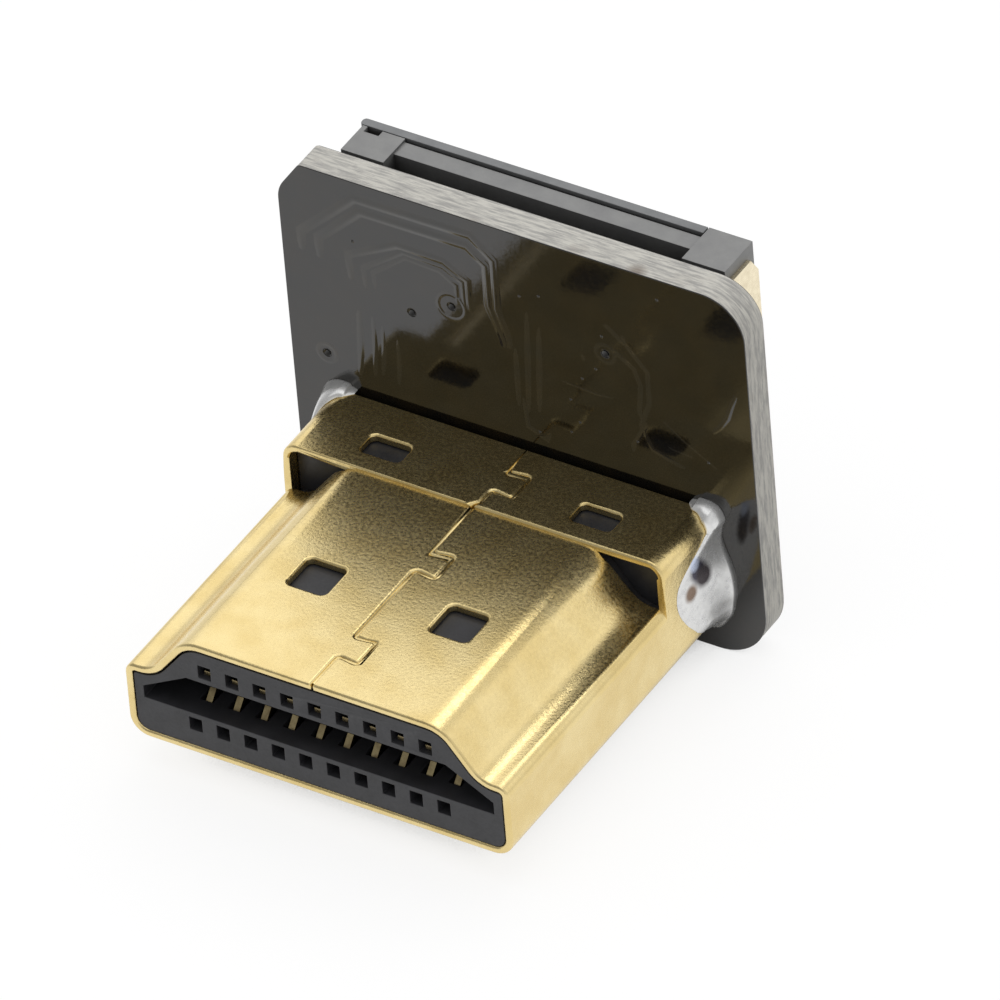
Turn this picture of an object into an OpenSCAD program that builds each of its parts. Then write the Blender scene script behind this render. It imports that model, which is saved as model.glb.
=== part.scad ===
// Right-angle plug: a digital video plug of the full-size 19-contact pattern, soldered square
// to a small circuit board, with a locking 20-way flat-cable socket on the board's back.
//
// Frame: millimetres. The origin is the centre of the plug's mating face. +X runs across the
// plug, +Y from the mouth towards the board, +Z up, towards the flat cable's way in.
// Heights named below are counted from the plug's underside.

/* [Plug shell] */
// Width of the plug shell
shell_w = 13.9; // [13.5:0.1:15]
// Height of the plug shell, from its underside to its narrow top
shell_h = 4.45; // [4.35:0.05:5]
// Thickness of the folded sheet
sheet_t = 0.26; // [0.2:0.02:0.34]
// Length from the mouth to the front edge of the rear box
nose_len = 9.6; // [9:0.1:13]
// Height of the side walls, up to the shoulders
side_h = 2.8; // [2.7:0.05:3]
// Width of each shoulder
shoulder_w = 0.95; // [0.9:0.05:1.1]
// Width of the narrow top between its two bends
top_w = 9.4; // [9.2:0.1:9.8]
// Outside radius of the two bottom bends
bottom_r = 0.7; // [0.4:0.05:0.9]
// Outside radius of the bends at the tops of the side walls
bend_r = 0.4; // [0.36:0.02:0.5]
// Outside radius of the hollow bends between the shoulders and the slopes
valley_r = 0.92; // [0.5:0.02:0.92]
// Outside radius of the bends between the slopes and the narrow top
crest_r = 1.25; // [0.6:0.05:1.4]
// Width of the gap in the seam where the sheet's two edges meet
seam_gap = 0.05; // [0.02:0.01:0.1]

/* [Rear box of the shell] */
// Length of the rear box
box_len = 3.05; // [2.6:0.05:5]
// Height of the box's top above the narrow top
box_step = 0.12; // [0.06:0.01:0.18]
// Outside radius of the box's two top bends
box_r = 0.6; // [0.36:0.02:0.8]
// Length over which the box's top overlaps the narrow top
joggle_len = 0.3; // [0.2:0.05:0.5]
// Width of each window in the box's top
box_window_w = 1.5; // [1:0.1:2]
// Length of each window in the box's top, along the plug
box_window_l = 0.9; // [0.5:0.05:1.1]
// Distance of each box window from the middle of the plug
box_window_x = 3.83; // [3:0.05:4.5]
// Distance from the box's front edge to the middle of its windows
box_window_y = 1.2; // [1:0.05:1.5]
// Width of the two legs that pass through the board
leg_w = 1.9; // [1.2:0.1:2.4]
// Height of the middle of the legs
leg_z = 2.1; // [1.9:0.05:2.4]
// Length of the legs that stands out behind the board
leg_out = 0.35; // [0.1:0.05:0.8]

/* [Latch windows] */
// Width of each latch window
latch_w = 1.42; // [1:0.02:2]
// Length of each latch window, along the plug
latch_l = 1.45; // [1:0.05:2]
// Corner radius of the windows
window_r = 0.22; // [0.1:0.01:0.4]
// Distance of each latch window from the middle of the plug
latch_x = 2.58; // [2:0.02:3]
// Distance from the mouth to the middle of the latch windows
latch_y = 4.6; // [3.5:0.1:6]

/* [Seam tabs] */
// Distance from the mouth to the front dovetail tab
front_tab_y = 1.5; // [1:0.1:3]
// Distance from the mouth to the middle dovetail tab
middle_tab_y = 6.1; // [5:0.1:7]
// Distance from the box's front edge to its dovetail tab
box_tab_y = 0.8; // [0.5:0.05:1]
// Length of each dovetail tab along the plug
tab_len = 1.2; // [0.9:0.05:1.4]
// Distance that each tab reaches across the seam
tab_out = 0.8; // [0.4:0.05:1]
// Distance by which each tab's neck is narrower on each side
tab_undercut = 0.12; // [0.04:0.02:0.2]
// Sideways shift of the seam where it crosses the box
box_seam_x = 0.2; // [0:0.05:0.5]

/* [Insulators] */
// Clearance between the insulators and the sheet
body_fit = 0.03; // [0.01:0.01:0.06]
// Distance of the insulator's face behind the mouth
face_recess = 0.06; // [0:0.02:0.4]
// Height of the lower row of contacts
row_low = 1.13; // [1:0.01:1.16]
// Distance between the two rows of contacts
row_gap = 2.24; // [2.1:0.02:2.3]
// Distance between neighbouring contacts of one row
row_pitch = 1; // [0.95:0.01:1.03]
// Width of the cavities that hold the contacts
cavity_w = 0.46; // [0.4:0.01:0.6]
// Height of the cavities that hold the contacts
cavity_h = 0.5; // [0.44:0.01:0.56]
// Height of the slot that takes the socket's tongue
slot_h = 1.36; // [1.3:0.02:1.6]
// Height of that slot at its two sides
slot_side_h = 0.45; // [0.4:0.05:0.6]
// Distance from the ends of that slot's flat top to the ends of the narrow top
slot_top_in = 0; // [-0.1:0.05:0.5]
// Thickness of the insulator beside that slot
slot_wall = 0.32; // [0.2:0.02:0.5]
// Depth of that slot behind the insulator's face
slot_depth = 6.4; // [5.5:0.1:7]
// Length of the bars that hold the contacts' tips back from the slot
bar_l = 0.7; // [0.5:0.05:0.8]
// Distance between the overlap of the sheet and the rear insulator
rear_clear = 0.15; // [0.05:0.05:0.3]

/* [Plug contacts] */
// Width of each contact across the plug
contact_w = 0.22; // [0.2:0.01:0.36]
// Thickness of each contact's strip
contact_t = 0.16; // [0.12:0.01:0.2]
// Length of each contact's wide shank, pressed in its cavity
shank_l = 2.3; // [1.5:0.1:2.6]
// Distance that each spring stands into the slot
spring_out = 0.2; // [0.1:0.01:0.3]
// Distance from the insulator's face to the crown of each spring
crown_y = 1.25; // [1.2:0.05:2]
// Distance from the insulator's face to each contact's tip
tip_recess = 0.2; // [0.1:0.05:0.4]
// Clearance around the tails in the rear insulator
tail_fit = 0.02; // [0.01:0.01:0.05]
// Length of the tails that stands out behind the board
tail_out = 0.7; // [0.5:0.05:1.2]

/* [Board] */
// Gap between the shell's rear edge and the board
board_gap = 0.22; // [0.1:0.02:0.6]
// Thickness of the board
board_t = 1.2; // [0.8:0.1:1.6]
// Width of the board
board_w = 16.9; // [16.6:0.1:20]
// Height of the board
board_h = 14.25; // [14:0.05:18]
// Distance that the board reaches below the plug's underside
board_drop = 1.2; // [1:0.05:2.5]
// Radius of the board's top right corner
board_top_r = 1.5; // [0.5:0.1:2]
// Width of the cut at the board's top left corner
board_cut_w = 0.85; // [0.5:0.05:1.2]
// Height of the cut at the board's top left corner
board_cut_h = 1.2; // [0.8:0.05:1.5]
// Radius of the bend at the foot of that cut
board_cut_r = 1.2; // [0.5:0.1:1.4]
// Radius of the board's two bottom corners
board_low_r = 1.8; // [0.5:0.1:2]
// Radius of the plated holes for the contacts' tails
tail_hole_r = 0.27; // [0.24:0.01:0.32]
// Clearance around the legs in their slots
leg_clear = 0.14; // [0.08:0.01:0.2]
// Radius of the small plated holes that join the two sides
via_r = 0.16; // [0.1:0.01:0.25]

/* [Solder] */
// Radius of the solder on each tail, where it meets the board
tail_solder_r = 0.4; // [0.36:0.01:0.44]
// Height of the solder on each tail
tail_solder_h = 0.4; // [0.2:0.05:0.45]
// Width of the large joints on the board, at their widest
joint_out = 0.6; // [0.3:0.02:1.1]
// Reach of the large joints along the shell, at their longest
joint_reach = 2.75; // [1.5:0.05:2.8]
// Distance that the large joints run on over the box's top, past its bends
joint_over = 0.25; // [0.1:0.05:0.4]

/* [Flat-cable socket] */
// Number of flat-cable contacts
ffc_count = 20; // [10:1:20]
// Distance between neighbouring flat-cable contacts
ffc_pitch = 0.5; // [0.45:0.01:0.52]
// Width of the socket
ffc_w = 13.9; // [13.6:0.1:15]
// Height of the socket off the board, lid and all
ffc_h = 2; // [2:0.02:2.4]
// Depth of the socket, from its mouth to its rear face
ffc_depth = 4.8; // [4.5:0.1:6]
// Distance from the board's top edge down to the socket's mouth
ffc_drop = 0.2; // [0:0.05:2]
// Width of the cable slot
cable_w = 10.8; // [10.6:0.05:11.2]
// Height of the cable slot at its mouth
cable_mouth_h = 0.62; // [0.62:0.02:0.94]
// Height of the cable slot further in
cable_h = 0.5; // [0.4:0.05:0.6]
// Depth of the cable slot
cable_depth = 3.4; // [2.8:0.1:3.5]
// Thickness of the socket's floor under the cable
ffc_floor = 0.3; // [0.26:0.01:0.34]
// Length of the step in the socket's mouth, on the board's side
mouth_step = 0.4; // [0.3:0.05:0.6]
// Width of each flat-cable contact
pin_w = 0.2; // [0.14:0.01:0.24]
// Clearance beside each flat-cable contact
pin_fit = 0.02; // [0.01:0.01:0.03]
// Length of the soldered foot of each flat-cable contact
foot_l = 0.7; // [0.4:0.05:1]

/* [Lock lid] */
// Thickness of the lid
lid_t = 0.32; // [0.26:0.01:0.34]
// Gap between the closed lid and the wall above the cable
lid_gap = 0.1; // [0.06:0.01:0.14]
// Gap between the closed lid and the socket's left end under it
lid_seat = 0.04; // [0.02:0.01:0.05]
// Width of the wall beside the lid's left end
end_wall = 0.35; // [0.25:0.05:0.5]
// Distance that the lid's finger tab stands out past the socket's left end
finger_out = 0.15; // [0.05:0.05:0.3]
// Distance from the socket's mouth to the lid's pivot
pivot_u = 2.8; // [2.5:0.05:2.85]
// Depth of the pivot below the lid's outer face
pivot_deep = 0.48; // [0.46:0.01:0.5]
// Radius of the lid's pivot pins
pin_r = 0.2; // [0.14:0.01:0.22]
// Clearance of the pivot pins in the socket and of the lid's ends
pin_clear = 0.04; // [0.02:0.01:0.06]
// Width of the left ear, which holds a pivot pin
ear_w = 0.75; // [0.7:0.05:1]
// Radius of the left ear around the pivot
ear_r = 0.44; // [0.4:0.01:0.45]
// Width of the notch under the lid's left end
notch_w = 0.55; // [0.4:0.05:0.9]
// Length of the notch and of the finger tab's room, from the socket's mouth
notch_l = 0.6; // [0.4:0.05:0.7]
// Depth of the notch in the socket's end
notch_deep = 0.2; // [0.1:0.02:0.3]

/* [Socket anchors] */
// Thickness of the two anchors' sheet
anchor_t = 0.14; // [0.1:0.01:0.2]
// Distance from the socket's mouth to the anchors' top edge
anchor_drop = 0.45; // [0.4:0.05:0.8]
// Length of the anchors along the socket
anchor_l = 3.6; // [3:0.1:3.8]
// Size of the slope at each anchor's outer corner, across the sheet
anchor_slope = 0.4; // [0.2:0.05:0.6]
// Distance that the anchors' feet reach beside the socket
foot_out = 0.75; // [0.4:0.05:0.8]
// Length of the anchors' feet along the socket
anchor_foot_l = 2; // [1.2:0.1:2.6]

/* [Hidden] */
$fn = 48;
// A cut runs this far past the faces that it opens
over = 1;

// Contact numbers, as two digits
function two(n) = str(n < 10 ? "0" : "", n);
LOW_COUNT = 10;
HIGH_COUNT = 9;
CONTACT_COUNT = LOW_COUNT + HIGH_COUNT;
MAX_FFC = 20;

// Places along the plug
box_end = nose_len + box_len;
board_front = box_end + board_gap;
board_back = board_front + board_t;
rear_front = nose_len + joggle_len + rear_clear;
leg_end = board_back + leg_out;

// Heights, counted from the origin
function above(h) = h - shell_h / 2;
board_top = above(board_h - board_drop);
mouth_z = board_top - ffc_drop;
slot_mid = row_low + row_gap / 2;

// Plain geometry: corners rounded by true arcs, and bands of even width along a path

function unit(v) = v / norm(v);
function mix(a, b, t) = a + (b - a) * t;
function turn(a, b, c) = cross(b - a, c - b) > 0 ? 1 : -1;
function before(i, n) = (i + n - 1) % n;
function after(i, n) = (i + 1) % n;

// One rounded corner: its two tangent points, the arc's centre and the way it turns. A corner of
// radius 0 stays sharp
function corner(a, b, c, r) = r == 0 ? [b, b, b, 0] :
    let (u = unit(a - b), v = unit(c - b), half = acos(u * v) / 2)
    [b + u * r / tan(half), b + v * r / tan(half), b + unit(u + v) * r / sin(half), turn(a, b, c)];

function corners(pts, radii) =
    let (n = len(pts))
    [for (i = [0:n - 1]) corner(pts[before(i, n)], pts[i], pts[after(i, n)], radii[i])];

function left_of(v) = unit([-v[1], v[0]]);

// An outline, drawn anticlockwise, with every side moved inwards by d
function inset_points(pts, d) =
    let (n = len(pts))
    [for (i = [0:n - 1])
        let (p = left_of(pts[i] - pts[before(i, n)]), q = left_of(pts[after(i, n)] - pts[i]))
        pts[i] + d * (p + q) / (1 + p * q)];

function inset_radii(pts, radii, d) =
    let (n = len(pts))
    [for (i = [0:n - 1]) radii[i] - d * turn(pts[before(i, n)], pts[i], pts[after(i, n)])];

module wedge(c, b, r) intersection() {
    translate(c[2]) circle(r);
    polygon([c[0], b, c[1], c[2]]);
}

// An outline whose corners are true arcs
module rounded(pts, radii) {
    c = corners(pts, radii);
    last = len(pts) - 1;
    difference() {
        union() {
            polygon([for (k = c) each k[3] == 0 ? [k[0]] : [k[0], k[1]]]);
            for (i = [0:last]) if (c[i][3] > 0) wedge(c[i], pts[i], radii[i]);
        }
        for (i = [0:last]) if (c[i][3] < 0) wedge(c[i], pts[i], radii[i]);
    }
}

module inset_rounded(pts, radii, d) rounded(inset_points(pts, d), inset_radii(pts, radii, d));

function rectangle(w, h) = [[-w / 2, -h / 2], [w / 2, -h / 2], [w / 2, h / 2], [-w / 2, h / 2]];

module rounded_rectangle(w, h, r) rounded(rectangle(w, h), [r, r, r, r]);

// One side of a band along an open path, at distance d to the left
function beside(path, d) =
    let (last = len(path) - 1)
    [for (i = [0:last])
        let (p = left_of(path[max(i, 1)] - path[max(i, 1) - 1]),
             q = left_of(path[min(i + 1, last)] - path[min(i + 1, last) - 1]))
        path[i] + d * (p + q) / (1 + p * q)];

function reversed(list) = [for (i = [len(list) - 1:-1:0]) list[i]];

function band(path, w) = concat(beside(path, w / 2), reversed(beside(path, -w / 2)));

// A section drawn across the plug, swept from y0 to y1
module along_plug(y0, y1) translate([0, y1, -shell_h / 2]) rotate([90, 0, 0])
    linear_extrude(y1 - y0) children();

// A section drawn over (y, z), swept across the plug and centred on x
module across(x, w) translate([x - w / 2, 0, 0]) rotate([90, 0, 90]) linear_extrude(w) children();

// Plug shell: one sheet, folded round and locked along the seam on its narrow side

shoulder_x = shell_w / 2 - shoulder_w;
nose_outline = [
    [-shell_w / 2, 0], [shell_w / 2, 0], [shell_w / 2, side_h], [shoulder_x, side_h],
    [top_w / 2, shell_h], [-top_w / 2, shell_h], [-shoulder_x, side_h], [-shell_w / 2, side_h]
];
nose_radii = [bottom_r, bottom_r, bend_r, valley_r, crest_r, crest_r, valley_r, bend_r];
// The narrow top is flat between these distances from the middle
crest_x = top_w / 2 - 0.6 * crest_r;
box_h = shell_h + box_step;
box_outline = [[-shell_w / 2, 0], [shell_w / 2, 0], [shell_w / 2, box_h], [-shell_w / 2, box_h]];
box_radii = [bottom_r, bottom_r, box_r, box_r];

module folded(outline, radii) difference() {
    rounded(outline, radii);
    inset_rounded(outline, radii, sheet_t);
}

// The seam's path over (x, y), with its tabs, from past the mouth to past the rear edge
function tab(x, y) =
    [[x, y + tab_undercut], [x + tab_out, y], [x + tab_out, y + tab_len], [x, y + tab_len - tab_undercut]];
seam_path = [
    [0, -over], each tab(0, front_tab_y), each tab(0, middle_tab_y), [0, nose_len],
    [box_seam_x, nose_len + sheet_t], each tab(box_seam_x, nose_len + box_tab_y), [box_seam_x, box_end + over]
];

module window(x, y, w, l, z) translate([x, y, z - 2 * sheet_t])
    linear_extrude(4 * sheet_t) rounded_rectangle(w, l, window_r);

module leg(side) {
    y0 = box_end - sheet_t;
    translate([side * (shell_w - sheet_t) / 2, (y0 + leg_end) / 2, above(leg_z)])
        cube([sheet_t, leg_end - y0, leg_w], center = true);
}

module plug_shell() color("goldenrod") difference() {
    union() {
        along_plug(0, nose_len) folded(nose_outline, nose_radii);
        along_plug(nose_len, box_end) folded(box_outline, box_radii);
        translate([-crest_x, nose_len - joggle_len, above(shell_h - sheet_t)])
            cube([2 * crest_x, 2 * joggle_len, sheet_t]);
        for (side = [-1, 1]) leg(side);
    }
    for (side = [-1, 1]) {
        window(side * latch_x, latch_y, latch_w, latch_l, above(shell_h));
        window(side * latch_x, latch_y, latch_w, latch_l, above(0));
        window(side * box_window_x, nose_len + box_window_y, box_window_w, box_window_l, above(box_h));
    }
    translate([0, 0, above(shell_h - 2 * sheet_t)]) linear_extrude(4 * sheet_t)
        polygon(band(seam_path, seam_gap));
}

// Insulators and the places of the contacts that they hold

// The lower row has the odd numbers and the upper row the even ones
function is_low(i) = i % 2 == 1;
function contact_x(i) = (i - LOW_COUNT) * row_pitch / 2;
function contact_h(i) = is_low(i) ? row_low : row_low + row_gap;

// The slot's upper corners are cut back, in step with the shell's shoulders
slot_low = slot_mid - slot_h / 2;
slot_high = slot_mid + slot_h / 2;
slot_side = slot_low + slot_side_h;
slot_x = shell_w / 2 - sheet_t - body_fit - slot_wall;
slot_top_x = top_w / 2 - slot_top_in;
slot_outline = [
    [-slot_x, slot_low], [slot_x, slot_low], [slot_x, slot_side],
    [slot_top_x, slot_high], [-slot_top_x, slot_high], [-slot_x, slot_side]
];
slot_end = face_recess + slot_depth;
bar_end = face_recess + bar_l;

// An insulator's section: it rests on the sheet's floor and clears the other walls
module insulator_section(outline, radii) translate([0, -body_fit])
    inset_rounded(outline, radii, sheet_t + body_fit);

module cavity(i) {
    x = contact_x(i);
    h = contact_h(i);
    translate([x - cavity_w / 2, -over, above(h - cavity_h / 2)])
        cube([cavity_w, rear_front + 2 * over, cavity_h]);
    translate([x - cavity_w / 2, bar_end, above(min(h, slot_mid))])
        cube([cavity_w, slot_end - bar_end, row_gap / 2]);
}

module front_insulator() color([0.27, 0.27, 0.29]) difference() {
    along_plug(face_recess, rear_front) insulator_section(nose_outline, nose_radii);
    along_plug(face_recess - over, slot_end) polygon(slot_outline);
    for (i = [1:CONTACT_COUNT]) cavity(i);
}

module rear_insulator() color([0.22, 0.22, 0.24]) difference() {
    along_plug(rear_front, box_end) insulator_section(box_outline, box_radii);
    for (i = [1:CONTACT_COUNT])
        translate([contact_x(i), (rear_front + box_end) / 2, above(contact_h(i))])
            cube([contact_w + 2 * tail_fit, box_len + 2 * over, contact_t + 2 * tail_fit], center = true);
}

// Plug contacts: a spring in front, a shank pressed in the front insulator and a straight tail

shank_start = rear_front - shank_l;
tail_end = board_back + tail_out;
// The spring's path over (y, reach towards the slot)
crown_reach = (row_gap - slot_h) / 2 + spring_out - contact_t / 2;
tip_reach = (cavity_h - contact_t) / 2 - body_fit;
crown = face_recess + crown_y;
half_crown = contact_t / 2;
spring_path = [
    [face_recess + tip_recess, tip_reach], [bar_end + half_crown, tip_reach],
    [crown - half_crown, crown_reach], [crown + half_crown, crown_reach], [shank_start, 0], [tail_end, 0]
];

module plug_contact(i) color("gold") translate([0, 0, above(contact_h(i))]) {
    across(contact_x(i), contact_w) mirror([0, is_low(i) ? 0 : 1]) polygon(band(spring_path, contact_t));
    across(contact_x(i), contact_w) translate([shank_start, -cavity_h / 2]) square([shank_l, cavity_h]);
}

// Board: one laminated piece with plated holes

// Small plated holes over (x, height)
VIA_PLACES = [[-7.13, 5.73], [-3.8, 8.51], [-2.29, 9.28], [3.29, 9.39]];

module board_outline() {
    low = above(-board_drop);
    x = board_w / 2;
    outline = [
        [-x, low], [x, low], [x, board_top], [-x + board_cut_w, board_top], [-x, board_top - board_cut_h]
    ];
    rounded(outline, [board_low_r, board_low_r, board_top_r, 0, board_cut_r]);
}

module board_section() difference() {
    board_outline();
    for (i = [1:CONTACT_COUNT]) translate([contact_x(i), above(contact_h(i))]) circle(tail_hole_r);
    for (p = VIA_PLACES) translate([p[0], above(p[1])]) circle(via_r);
    for (side = [-1, 1]) translate([side * (shell_w - sheet_t) / 2, above(leg_z)]) leg_slot_section();
}

module leg_slot_section() {
    w = sheet_t + 2 * leg_clear;
    rounded_rectangle(w, leg_w + 2 * leg_clear, 0.45 * w);
}

// A section over (x, z), swept from y0 to y1
module through(y0, y1) translate([0, y1, 0]) rotate([90, 0, 0]) linear_extrude(y1 - y0) children();

module board() color([0.13, 0.13, 0.13]) through(board_front, board_back) board_section();

// Large solder joints: each fillet follows the box's outline from its top, over the side, to below

// Stations: place along the outline (-1 to 0 on the top, 0 to 1 top bend, 1 to 2 side, 2 to 3
// bottom bend), share of the joint's width on the board, share of its reach along the shell, and
// roundness (0 a hollow fillet, 1 a round blob)
RIGHT_JOINT = [
    [-1, 0.06, 0.08, 1], [-0.3, 0.14, 0.15, 1], [0.2, 0.4, 0.18, 1], [0.5, 0.63, 0.24, 1],
    [0.85, 0.57, 0.25, 1], [1, 0.32, 0.26, 0.8], [1.1, 0.14, 0.56, 0.3], [1.2, 0.11, 0.93, 0],
    [1.3, 0.3, 0.99, 0], [1.45, 0.61, 1, 0], [1.6, 0.83, 0.94, 0], [1.8, 0.88, 0.8, 0],
    [2, 0.68, 0.58, 0], [2.4, 0.55, 0.4, 0], [2.8, 0.8, 0.26, 0.2], [3, 0.7, 0.18, 0.4]
];
LEFT_JOINT = [
    [-1, 0.06, 0.08, 1], [-0.2, 0.17, 0.16, 1], [0.2, 0.43, 0.22, 1], [0.6, 0.72, 0.36, 0.8],
    [1, 0.82, 0.55, 0.4], [1.2, 1.08, 0.7, 0.1], [1.4, 1.15, 0.8, 0], [1.6, 1.15, 0.8, 0],
    [1.8, 1.1, 0.72, 0], [2, 0.95, 0.56, 0], [2.4, 0.8, 0.4, 0], [2.8, 0.7, 0.26, 0.2], [3, 0.5, 0.16, 0.4]
];
JOINT_RINGS = 40;
JOINT_STEPS = 6;
function joint_shape(side) = side < 0 ? LEFT_JOINT : RIGHT_JOINT;
joint_skin = 0.012;
// Share of the fillet's width that rises steeply, close to the board, and how steeply
joint_foot = 0.4;
joint_steepness = 5;

function joint_share(side, t, column) = lookup(t, [for (s = joint_shape(side)) [s[0], s[column]]]);
// The fillet's height over the shell, for the share s of its reach away from the board
function joint_profile(s, round) =
    mix(mix(1 - s, (1 - s) ^ joint_steepness, joint_foot), sqrt(max(0, 1 - s * s)), round);
function outline_angle(t) = t < 0 ? 90 : t < 1 ? 90 * (1 - t) : t < 2 ? 0 : -90 * (t - 2);
function outline_normal(t) = [cos(outline_angle(t)), sin(outline_angle(t))];
function outline_point(t) =
    t < 0 ? [shell_w / 2 - box_r + t * joint_over, box_h] :
    t < 1 ? [shell_w / 2 - box_r, box_h - box_r] + box_r * outline_normal(t) :
    t < 2 ? [shell_w / 2, mix(box_h - box_r, bottom_r, t - 1)] :
    [shell_w / 2 - bottom_r, bottom_r] + bottom_r * outline_normal(t);

// One ring of the fillet: from the board, round the outside, to the shell's wall and the corner
function joint_ring(side, t) =
    let (p = outline_point(t) + joint_skin * outline_normal(t), n = outline_normal(t),
         width = joint_out * joint_share(side, t, 1), reach = joint_reach * joint_share(side, t, 2))
    [for (k = [0:JOINT_STEPS])
        let (s = sin(90 * k / JOINT_STEPS), out = width * joint_profile(s, joint_share(side, t, 3)),
             back = reach * s)
        [p[0] + out * n[0], board_front - back, above(p[1] + out * n[1])],
     [p[0], board_front, above(p[1])]];

module joint_fillet(side) {
    m = JOINT_STEPS + 2;
    points = [for (j = [0:JOINT_RINGS]) each joint_ring(side, 4 * j / JOINT_RINGS - 1)];
    walls = [for (j = [0:JOINT_RINGS - 1]) for (k = [0:m - 1])
        let (a = j * m + k, b = j * m + after(k, m)) each [[a, b + m, b], [a, a + m, b + m]]];
    ends = [[for (k = [0:m - 1]) k], [for (k = [m - 1:-1:0]) JOINT_RINGS * m + k]];
    polyhedron(points, concat(walls, ends), convexity = 4);
}

// The solder that fills the leg's slot and stands round the leg's end
module leg_fill() difference() {
    union() {
        through(board_front - board_gap / 2, board_back) translate([(shell_w - sheet_t) / 2, above(leg_z)])
            leg_slot_section();
        through(board_back, leg_end - leg_out / 4) translate([(shell_w - sheet_t) / 2, above(leg_z)])
            leg_slot_section();
    }
    translate([(shell_w - sheet_t) / 2, board_back, above(leg_z)])
        cube([sheet_t, 4 * board_t, leg_w], center = true);
}

module solder_joint(side) color("silver") mirror([side < 0 ? 1 : 0, 0, 0]) union() {
    joint_fillet(side);
    leg_fill();
}

// Tail solder: a small cone round each tail, and the solder that fills its hole
module tail_solder() color("silver") for (i = [1:CONTACT_COUNT]) difference() {
    translate([contact_x(i), board_front, above(contact_h(i))]) rotate([-90, 0, 0]) union() {
        cylinder(r = tail_hole_r, h = board_t);
        translate([0, 0, board_t]) cylinder(r1 = tail_solder_r, r2 = tail_hole_r, h = tail_solder_h);
    }
    translate([contact_x(i), board_back, above(contact_h(i))])
        cube([contact_w, 4 * board_t, contact_t], center = true);
}

// Flat-cable socket. Its sections are drawn over (v, u): v out from the board's back, and u
// down from the socket's mouth

lid_low = ffc_h - lid_t;
block_h = lid_low - lid_gap;
pivot_v = ffc_h - pivot_deep;
trough_r = pivot_deep + pin_clear / 2;
rear_block_u = pivot_u + trough_r + pin_clear / 2;
lid_shoulder_u = pivot_u - trough_r;
knuckle_r = pivot_deep - pin_clear;
pin_l = 0.6 * ear_w;
// The lid reaches from the left end wall to the solid block beside the cable's right edge
socket_x = ffc_w / 2;
ear_x = -socket_x + ear_w;
block_x = cable_w / 2;
lid_x0 = -socket_x + end_wall + pin_clear;
lid_x1 = block_x - pin_clear;
// The lid's finger tab and the room for it in the left end wall
finger_x0 = -socket_x - finger_out;
finger_x1 = -socket_x + 2 * end_wall;

function below_mouth(u) = mouth_z - u;

// A socket section, swept over the width w and centred on x
module socket_sweep(x, w) translate([x - w / 2, board_back, mouth_z]) rotate([90, 0, 90])
    linear_extrude(w) mirror([0, 1]) children();

// The same, swept from x0 to x1
module socket_span(x0, x1) socket_sweep((x0 + x1) / 2, x1 - x0) children();

module socket_rectangle(v0, v1, u0, u1) translate([v0, u0]) square([v1 - v0, u1 - u0]);

function ffc_x(i) = (i - (ffc_count + 1) / 2) * ffc_pitch;

// The cable slot: wide at its mouth, and narrower where the contacts press the cable
cable_lead = 0.3 * cable_depth;
module cable_slot_section() {
    polygon([
        [ffc_floor, -over], [ffc_floor + cable_mouth_h, -over], [ffc_floor + cable_mouth_h, cable_lead / 2],
        [ffc_floor + cable_h, cable_lead], [ffc_floor + cable_h, cable_depth], [ffc_floor, cable_depth]
    ]);
}

// Each contact: a foot on the board, a shank in the housing and a spring under the cable
pin_t = 0.16;
pin_v = ffc_floor - 0.08;
bump_v = ffc_floor + 0.12;
shank_top = ffc_floor + cable_h + 0.1;
shank_u = cable_depth + 0.3;
shank_bottom_u = ffc_depth - 0.35;
bump_u = 1.2;
bump_l = 0.2;
ramp_l = 0.25;
foot_gap = 0.2;
toe_l = 0.25;
pin_spring = [
    [pin_v, bump_u - bump_l / 2 - ramp_l], [bump_v, bump_u - bump_l / 2], [bump_v, bump_u + bump_l / 2],
    [pin_v, bump_u + bump_l / 2 + 4 * ramp_l], [pin_v, shank_u + pin_t]
];
module ffc_contact(i) if (i <= ffc_count) color("silver") {
    x = ffc_x(i);
    low = pin_v - pin_t / 2;
    high = pin_v + pin_t;
    riser = ffc_depth + foot_gap - pin_t;
    socket_sweep(x, pin_w) polygon(band(pin_spring, pin_t));
    socket_sweep(x, pin_w) socket_rectangle(low, shank_top, shank_u, shank_bottom_u);
    socket_sweep(x, pin_w) socket_rectangle(low, high, shank_bottom_u - pin_t, ffc_depth + foot_gap);
    socket_sweep(x, pin_w) socket_rectangle(0, high, riser, ffc_depth + foot_gap);
    socket_sweep(x, pin_w) socket_rectangle(0, pin_t, riser, ffc_depth + foot_gap + foot_l);
}

// The room that each contact needs in the housing
module pin_cavity_section() {
    low = pin_v - pin_t / 2;
    socket_rectangle(low, ffc_floor + pin_fit, bump_u - bump_l / 2 - 2 * ramp_l, ffc_depth + over);
    socket_rectangle(low, shank_top, cable_depth - pin_t, ffc_depth + over);
}

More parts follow.
